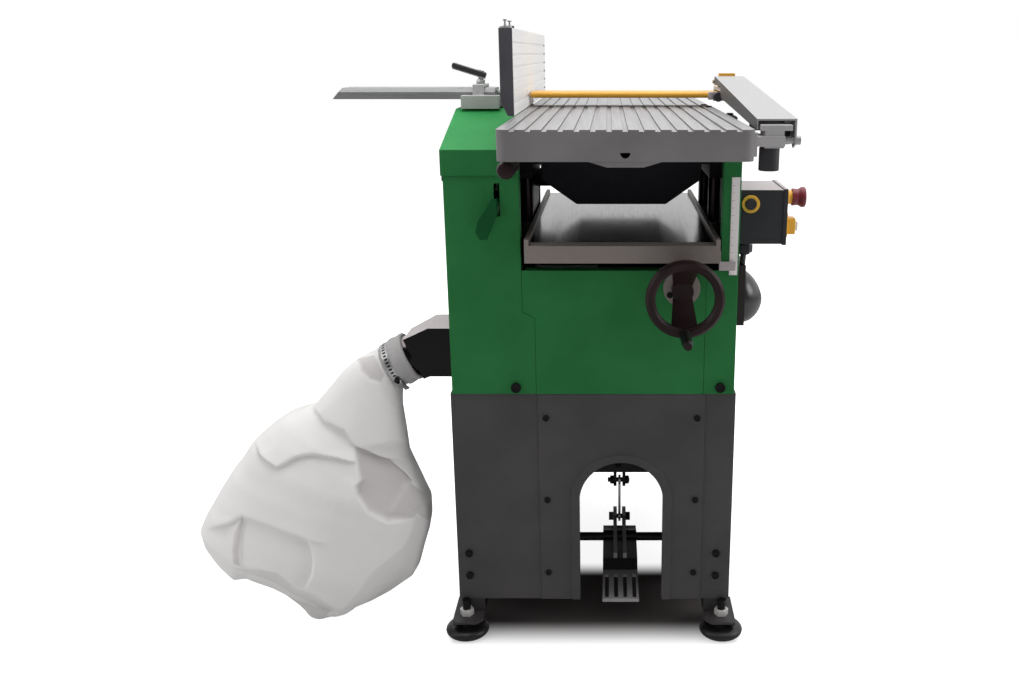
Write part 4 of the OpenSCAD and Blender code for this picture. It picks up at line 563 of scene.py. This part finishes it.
cuff = dict(
    origin=(-269, -230, 437), tilt=26.6, start=34, steps=156, wall=0.0012,
    # along the cuff and radius: rolled hem, body, squeeze under the clip, flare into the bag
    profile=[(0, 31.4), (0.2, 34.6), (1.2, 35.6), (3.4, 36.0), (5.4, 35.6), (6.2, 34.8), (8, 34.8), (14, 35.6),
             (19, 35.8), (22, 35.0), (24, 33.0), (28, 32.4), (33, 32.6), (36, 33.4)],
    # gathers grow from the hem to the clip, lie flat under it and open out again past it
    pleats=26, pleatShare=0.012, growFrom=8, growOver=16, clipFrom=24, clipTo=28, openOver=8, leastOpen=0.2,
    sags=5, sagShare=0.006, sagMm=6,
)
cuffPlace = (Matrix.Translation(Vector(cuff["origin"])) @ Matrix.Rotation(math.radians(-90 - cuff["tilt"]), 4, "Y")
             @ Matrix.Translation((0, 0, cuff["start"])))


def spun(bm, profile, steps):
    # ring from a profile of (along, radius) points about z
    start = [bm.verts.new((r, 0, z)) for z, r in profile]
    edges = [bm.edges.new(pair) for pair in zip(start, start[1:])]
    bmesh.ops.spin(bm, geom=start + edges, cent=(0, 0, 0), axis=(0, 0, 1), angle=math.tau, steps=steps,
                   use_merge=True, use_duplicate=False)


def makeCuff():
    bm = bmesh.new()
    spun(bm, cuff["profile"], cuff["steps"])
    for v in bm.verts:
        turn = math.atan2(v.co.y, v.co.x)
        gather = max(0.0, min(1.0, (v.co.z - cuff["growFrom"]) / cuff["growOver"]))
        if v.co.z >= cuff["clipFrom"]:
            gather *= max(cuff["leastOpen"], (v.co.z - cuff["clipTo"]) / cuff["openOver"])
        pleat = cuff["pleatShare"] * gather * math.sin(cuff["pleats"] * turn)
        sag = cuff["sagShare"] * math.sin(cuff["sags"] * turn + v.co.z / cuff["sagMm"])
        v.co.x *= 1 + pleat + sag
        v.co.y *= 1 + pleat + sag
    bmesh.ops.transform(bm, matrix=cuffPlace, verts=bm.verts)
    piece = settleMm(bm, "bag_cuff_cloth", "machine", ["cuffCloth"], smooth=60,
                     replaces=("bag_cuff",))
    wall = piece.modifiers.new("wall", "SOLIDIFY")
    wall.thickness = cuff["wall"]
    wall.offset = -1


makeCuff()
print("bag cuff")

making = dict(steps=3, rim=0.7, socketWall=0.45)  # steps of a bevel, rad at a rod's rim, share of the radius


def addBlock(bm, low, high, edge=0.6, index=0):
    # bevelled block between two corners
    made = bmesh.ops.create_cube(bm, size=1.0)["verts"]
    bmesh.ops.scale(bm, vec=[b - a for a, b in zip(low, high)], verts=made)
    bmesh.ops.translate(bm, vec=[(a + b) / 2 for a, b in zip(low, high)], verts=made)
    for face in {f for v in made for f in v.link_faces}:
        face.material_index = index
    bevelled(bm, list({e for v in made for e in v.link_edges}), edge, making["steps"])


def addRod(bm, start, end, radius, edge=0.5, index=0, segments=40, socket=0.0):
    # bevelled rod between two points, with a recess in its far end where socket is given
    start, end = Vector(start), Vector(end)
    turn = (end - start).to_track_quat("Z", "Y").to_matrix().to_4x4()
    middle = Matrix.Translation((start + end) / 2)
    made = bmesh.ops.create_cone(bm, cap_ends=True, segments=segments, radius1=radius, radius2=radius,
                                 depth=(end - start).length, matrix=middle @ turn)["verts"]
    faces = {f for v in made for f in v.link_faces}
    for face in faces:
        face.material_index = index
    if socket:
        endFace = max((f for f in faces if len(f.verts) > 4), key=lambda f: (f.calc_center_median() - start).length)
        bmesh.ops.inset_individual(bm, faces=[endFace], thickness=radius * making["socketWall"], depth=-socket)
    bevelled(bm, list({e for v in made for e in v.link_edges if e.calc_face_angle(0) > making["rim"]}), edge,
             making["steps"])


clip = dict(
    low=23.8, high=32.6, inner=32.7, outer=33.9, slots=40, slotInset=0.24, slotWall=0.05, slotDepth=0.7,
    screwTowards=(-25, -28),  # the screw sits at the front underside
    # housing and strap tail, two corners each: past the outer radius, along the band, past the band's edges
    blocks=[((-0.4, -7, -0.6), (5.2, 7, 0.6), 1.2), ((-0.2, -22, 0.8), (0.9, -6, -0.8), 0.3)],
    screw=dict(out=3.0, start=6, end=12.5, radius=3.4, socket=1.2),
)


def makeClip():
    # worm drive hose clip: slotted band, screw housing, strap tail
    bm = bmesh.new()
    low, high, inner, outer = clip["low"], clip["high"], clip["inner"], clip["outer"]
    middle, inset, steps = (low + high) / 2, (high - low) * clip["slotInset"], clip["slots"] * 2
    profile = [(low, inner), (low, outer), (low + inset, outer), (high - inset, outer), (high, outer), (high, inner)]
    spun(bm, profile + profile[:1], steps)
    bmesh.ops.remove_doubles(bm, verts=bm.verts, dist=0.001)
    bmesh.ops.recalc_face_normals(bm, faces=bm.faces)
    slots = []
    for face in bm.faces:
        centre = face.calc_center_median()
        step = round((math.atan2(centre.y, centre.x) % math.tau) / math.tau * steps - 0.5)
        outside = centre.to_2d().length > (inner + outer) / 2
        if outside and abs(centre.z - middle) < inset / 2 and step % 2 == 0:
            slots.append(face)
    for face in slots:
        face.material_index = 1
    bmesh.ops.inset_individual(bm, faces=slots, thickness=clip["slotWall"], depth=-clip["slotDepth"])
    housing = bmesh.new()
    for (outA, sideA, pastA), (outB, sideB, pastB), edge in clip["blocks"]:
        addBlock(housing, (outer + outA, sideA, low + pastA), (outer + outB, sideB, high + pastB), edge)
    screw = clip["screw"]
    addRod(housing, (outer + screw["out"], screw["start"], middle), (outer + screw["out"], screw["end"], middle),
           screw["radius"], index=1, socket=screw["socket"])
    towardsX, towardsY = clip["screwTowards"]
    bmesh.ops.transform(housing, matrix=Matrix.Rotation(math.atan2(towardsY, towardsX), 4, "Z"), verts=housing.verts)
    spare = bpy.data.meshes.new("spare")
    housing.to_mesh(spare)
    housing.free()
    bm.from_mesh(spare)
    bpy.data.meshes.remove(spare)
    bmesh.ops.transform(bm, matrix=cuffPlace, verts=bm.verts)
    settleMm(bm, "hose_clip", "machine", ["zinc", "blackOxide"])


makeClip()
print("hose clip")

motorCover = dict(face=196.6, y=-20, z=459.5, radius=43.5, depth=33.9, droop=6, fullness=1.7, rings=16, steps=72)


def makeMotorCover():
    # smooth dome over the motor's end, its tip a little low
    size, power = motorCover, motorCover["fullness"]
    bm = bmesh.new()
    profile = []
    for i in range(size["rings"] + 1):
        along = math.sin(i / size["rings"] * math.pi / 2)
        profile.append((along * size["depth"], size["radius"] * (1 - along ** power) ** (1 / power)))
    spun(bm, profile, size["steps"])
    bmesh.ops.remove_doubles(bm, verts=bm.verts, dist=0.001)
    bmesh.ops.holes_fill(bm, edges=[e for e in bm.edges if e.is_boundary], sides=0)
    turn = Matrix.Translation((size["face"], size["y"], size["z"])) @ Matrix.Rotation(math.pi / 2, 4, "Y")
    bmesh.ops.transform(bm, matrix=turn, verts=bm.verts)
    for v in bm.verts:
        v.co.z -= size["droop"] * (v.co.x - size["face"]) / size["depth"]
    settleMm(bm, "motor_cover", "machine", ["coverAbs"], smooth=60)


makeMotorCover()
print("motor cover")

clampLever = dict(
    x=-207, y=-80, foot=795, tip=(-248, 822), end=(-199, 807),  # the screw's foot and the grip's two ends in x and z
    halfWide=7, thick=7.5, edge=2.0, strip=dict(start=1.5, inset=1, below=1.6, into=0.3, edge=0.5),
    cap=dict(fromEnd=9, into=0.5, above=1.4, radius=5), screw=dict(high=13, radius=4, edge=0.4),
    nut=dict(low=0.1, high=6, radius=7, edge=0.6),
)


def makeClampLever():
    # straight grip over a bright steel strip, on its screw with a nut
    size, strip, cap, screw, nut = clampLever, *(clampLever[key] for key in ("strip", "cap", "screw", "nut"))
    (tipX, tipZ), (endX, endZ) = size["tip"], size["end"]
    length, side, top = math.dist(size["tip"], size["end"]), size["halfWide"], size["thick"] / 2
    x, y, foot = size["x"], size["y"], size["foot"]
    bm = bmesh.new()
    addBlock(bm, (0, -side, -top), (length, side, top), size["edge"])
    addBlock(bm, (strip["start"], -side + strip["inset"], -top - strip["below"]),
             (length, side - strip["inset"], -top + strip["into"]), strip["edge"], 1)
    addRod(bm, (length - cap["fromEnd"], 0, top - cap["into"]), (length - cap["fromEnd"], 0, top + cap["above"]),
           cap["radius"], index=1)
    slope = Matrix.Rotation(math.atan2(tipZ - endZ, endX - tipX), 4, "Y")
    bmesh.ops.transform(bm, matrix=Matrix.Translation((tipX, y, tipZ)) @ slope, verts=bm.verts)
    addRod(bm, (x, y, foot), (x, y, foot + screw["high"]), screw["radius"], screw["edge"], 1)
    addRod(bm, (x, y, foot + nut["low"]), (x, y, foot + nut["high"]), nut["radius"], nut["edge"], 1, segments=6)
    settleMm(bm, "clamp_lever", bodyOf["fence_lever"], ["blackAbs", "zinc"],
             replaces=("fence_lever",))


makeClampLever()
print("clamp lever")

# small fittings that the photograph shows, in mm
# blocks: two corners, bevel and finish; rods: two ends, radius, bevel and finish
fenceBolts = [  # place in x and y, then heights: shank's top, head's underside and top, nut's top
    (-148.5, -286, 879.5, 877.8, 880, 873.4),
    (-143.5, -278, 878, 876.4, 878.6, 873.2),
]
fenceTop = 871.2
fittings = {
    "fence_top_bolts": dict(
        slot="zinc_steel", body=bodyOf["fence_plate"], keys=["zinc", "blackAbs"],
        blocks=[((-155, -291, 869.0), (-141, -268, 871.4), 0.5, 0),
                ((-145.5, -266, 869.0), (-139.5, -256, 872.2), 0.6, 1)],
        rods=[((x, y, low), (x, y, high), radius, edge, 0) for x, y, shankTop, headLow, headTop, nutTop in fenceBolts
              for low, high, radius, edge in ((fenceTop, shankTop, 1.3, 0.2), (headLow, headTop, 2.7, 0.5),
                                              (fenceTop, nutTop, 2.7, 0.5))]),
    "cover_screws": dict(
        slot="black_hardware", body="machine", keys=["blackOxide"],
        rods=[((-237.5, y, 678.5), (-241.2, y, 678.5), 4.5, 0.9, 0) for y in (-262, 222)]),
    "outfeed_lip_screw": dict(
        slot="black_hardware", body=bodyOf["outfeed_table"], keys=["blackOxide"],
        rods=[((133, -53, 759.8), (133, -53, 762.0), 4.6, 0.7, 0)]),
    "infeed_lip_screw": dict(
        slot="black_hardware", body=bodyOf["infeed_table"], keys=["blackOxide"],
        rods=[((133, 27, 758.8), (133, 27, 760.6), 4.6, 0.7, 0)]),
    "side_rest": dict(
        slot="grey_stand", body="machine", keys=["greyCoat", "blackOxide"],
        blocks=[((139.8, -186, 738), (146, -112, 755), 1.2, 0), ((145, -180, 746), (162, -122, 754), 3.0, 0)],
        rods=[((154, -150, 753.5), (154, -150, 757), 5, 0.8, 1)]),
    "blade_end_sleeve": dict(
        slot="zinc_steel", body=bodyOf["guard_carrier"], keys=["paleSheetAndSheen"],
        blocks=[((132, -49.4, 770.5), (141, -45.7, 782.5), 1.8, 0)]),
    "bracket_spring": dict(
        slot="black_paint", body=bodyOf["guard_bracket"], keys=["blackCoat"],
        blocks=[((175.8, -450, 739), (188.2, -446.5, 757), 0.5, 0)]),
    # dark grey sheet inside the guard arm where the arm's inside lies in shade: it stands in for that shade and closes
    # the view through
    "arm_shade_sheet": dict(
        slot="grey_stand", body=bodyOf["guard_arm"], keys=["greyCoat"],
        blocks=[((147.9, -402, 751), (189.1, -399, 772.4), 0.4, 0)]),
    "crossmember_bolt": dict(
        slot="black_hardware", body=bodyOf["pedal_crossmember"], keys=["blackOxide"],
        rods=[((-2.7, -49.8, 177), (-2.7, -53.5, 177), 5.5, 0.8, 0)]),
}
sockets = dict(most=1.2, share=0.3)  # depth of the recess in a rod's end: most in mm, share of the rod's length
for name, parts in fittings.items():
    bm = bmesh.new()
    for low, high, edge, index in parts.get("blocks", ()):
        addBlock(bm, low, high, edge, index)
    for start, end, radius, edge, index in parts.get("rods", ()):
        deep = min(sockets["most"], math.dist(start, end) * sockets["share"])
        addRod(bm, start, end, radius, edge, index, socket=deep)
    settleMm(bm, name, parts["body"], parts["keys"])
print("small fittings", len(fittings))

# the photograph is 1018 pixels wide, its lens 1000 pixels long and its middle at pixel 609.5; 36 mm is Blender's sensor
photo = dict(wide=1018, lens=1000, middle=609.5, pitch=16.04, sensor=36)
camera = bpy.data.cameras.new("camera")
camera.lens = photo["sensor"] * photo["lens"] / photo["wide"]
camera.shift_x = (photo["wide"] / 2 - photo["middle"]) / photo["wide"]
cameraObject = bpy.data.objects.new("camera", camera)
cameraObject.location = at(*eye)
cameraObject.rotation_euler = (math.radians(90 - photo["pitch"]), 0, 0)
bpy.context.scene.collection.objects.link(cameraObject)
bpy.context.scene.camera = cameraObject

lamps = [
    dict(name="overhead", spot=(0.1, 0.15, 2.6), aim=(0.1, 0, 0.6), size=3.0, power=68),
    dict(name="rightSide", spot=(2.7, -0.5, 1.6), aim=(0.1, 0, 0.7), size=1.4, power=26),
    dict(name="leftSide", spot=(-2.4, -1.0, 1.7), aim=(0, -0.1, 0.4), size=1.4, power=16),
    dict(name="front", spot=(0.0, -3.2, 1.9), aim=(0.1, 0, 0.4), size=1.8, power=3),
]
for lamp in lamps:
    data = bpy.data.lights.new(lamp["name"], "AREA")
    data.size = lamp["size"]
    data.energy = lamp["power"]
    lampObject = bpy.data.objects.new(lamp["name"], data)
    lampObject.location = lamp["spot"]
    lampObject.rotation_euler = (Vector(lamp["aim"]) - Vector(lamp["spot"])).to_track_quat("-Z", "Y").to_euler()
    bpy.context.scene.collection.objects.link(lampObject)

# white surround for the eye and for gloss, dimmer where gloss looks back to the camera's side
surround = dict(light=0.22, frontGloss=0.1, glossFrom=-0.5, glossTo=0.15)
world = bpy.data.worlds.new("studio")
world.use_nodes = True
bpy.context.scene.world = world
sky = world.node_tree
paths = addNode(sky, "ShaderNodeLightPath")
toward = addNode(sky, "ShaderNodeSeparateXYZ", None, {0: addNode(sky, "ShaderNodeTexCoord").outputs["Generated"]})
glossSide = addNode(sky, "ShaderNodeMapRange", {"From Min": surround["glossFrom"], "From Max": surround["glossTo"],
                    "To Min": surround["frontGloss"], "To Max": 1.0}, {"Value": toward.outputs["Y"]})
glossSeen = addNode(sky, "ShaderNodeMath", {"operation": "MULTIPLY"},
                    {0: glossSide.outputs["Result"], 1: paths.outputs["Is Glossy Ray"]})
clearSeen = addNode(sky, "ShaderNodeMath", {"operation": "MAXIMUM"},
                    {0: paths.outputs["Is Camera Ray"], 1: paths.outputs["Is Transmission Ray"]})
allSeen = addNode(sky, "ShaderNodeMath", {"operation": "MAXIMUM"}, {0: glossSeen.outputs[0], 1: clearSeen.outputs[0]})
strength = addNode(sky, "ShaderNodeMath", {"operation": "MAXIMUM", 1: surround["light"]}, {0: allSeen.outputs[0]})
background = sky.nodes["Background"]
background.inputs["Color"].default_value = linear("#ffffff")
sky.links.new(strength.outputs[0], background.inputs["Strength"])

# pale floor: glows white to the eye away from the stand and keeps the dark shadow under the stand's front, where its
# colour is also painted darker: a painted shadow
floorLook = dict(
    half=9.0, paintedShadowUnderStand="#645f5e", open="#dedede", glow=0.9, gloss=0.1,
    clearFrom=0.5, clearBy=1.3,  # m from the middle, between which the glow grows to full
    middleX=-40, frontY=(-245, -342), backY=(-110, -60), sideX=(180, 228),  # mm, soft edges of the painted shadow and of the band where the glow stops
)
bm = bmesh.new()
bmesh.ops.create_grid(bm, x_segments=1, y_segments=1, size=floorLook["half"])
floorMesh = bpy.data.meshes.new("floor")
bm.to_mesh(floorMesh)
bm.free()
floor = bpy.data.objects.new("floor", floorMesh)
bpy.context.scene.collection.objects.link(floor)
floorMaterial, tree, shader, spot = startFinish("matt_pale_studio_floor", Roughness=0.9, Specular_IOR_Level=0.1)
shader.inputs["Emission Color"].default_value = linear("#ffffff")
split = addNode(tree, "ShaderNodeSeparateXYZ", None, {"Vector": spot})
offX = addNode(tree, "ShaderNodeMath", {"operation": "SUBTRACT", 1: at(floorLook["middleX"], 0, 0).x},
               {0: split.outputs["X"]})
wideX = addNode(tree, "ShaderNodeMath", {"operation": "ABSOLUTE"}, {0: offX.outputs[0]})
ramps = []
for socket, (nearMm, farMm) in ((split.outputs["Y"], floorLook["frontY"]), (split.outputs["Y"], floorLook["backY"]),
                                (wideX.outputs[0], floorLook["sideX"])):
    ramps.append(addNode(tree, "ShaderNodeMapRange", {"interpolation_type": "SMOOTHSTEP", "From Min": nearMm / 1000,
                         "From Max": farMm / 1000, "To Min": 0.0, "To Max": 1.0}, {"Value": socket}).outputs["Result"])
ends = addNode(tree, "ShaderNodeMath", {"operation": "MAXIMUM"}, {0: ramps[0], 1: ramps[1]})
clear = addNode(tree, "ShaderNodeMath", {"operation": "MAXIMUM"}, {0: ends.outputs[0], 1: ramps[2]})
rays = addNode(tree, "ShaderNodeLightPath")
glossy = addNode(tree, "ShaderNodeMath", {"operation": "MULTIPLY", 1: floorLook["gloss"]},
                 {0: rays.outputs["Is Glossy Ray"]})
plain = addNode(tree, "ShaderNodeMath", {"operation": "MAXIMUM"},
                {0: rays.outputs["Is Camera Ray"], 1: rays.outputs["Is Transmission Ray"]})
seen = addNode(tree, "ShaderNodeMath", {"operation": "MAXIMUM"}, {0: plain.outputs[0], 1: glossy.outputs[0]})
away = addNode(tree, "ShaderNodeVectorMath", {"operation": "LENGTH"}, {0: spot})
level = addNode(tree, "ShaderNodeMapRange", {"From Min": floorLook["clearFrom"], "From Max": floorLook["clearBy"],
                "To Min": floorLook["glow"], "To Max": 1.0}, {"Value": away.outputs["Value"]})
lit = addNode(tree, "ShaderNodeMath", {"operation": "MULTIPLY"}, {0: clear.outputs[0], 1: level.outputs["Result"]})
glow = addNode(tree, "ShaderNodeMath", {"operation": "MULTIPLY"}, {0: lit.outputs[0], 1: seen.outputs[0]})
# the floor's colour is darker where the glow stops: a painted shadow under the stand
tone = addNode(tree, "ShaderNodeValToRGB", {"stops": [(0.0, floorLook["paintedShadowUnderStand"]), (1.0, floorLook["open"])]},
               {"Fac": clear.outputs[0]})
joinUp(tree, shader, {"Base Color": tone.outputs["Color"], "Emission Strength": glow.outputs[0]})
floorMesh.materials.append(floorMaterial)

bpy.context.scene.view_settings.view_transform = "Standard"
print("stage")
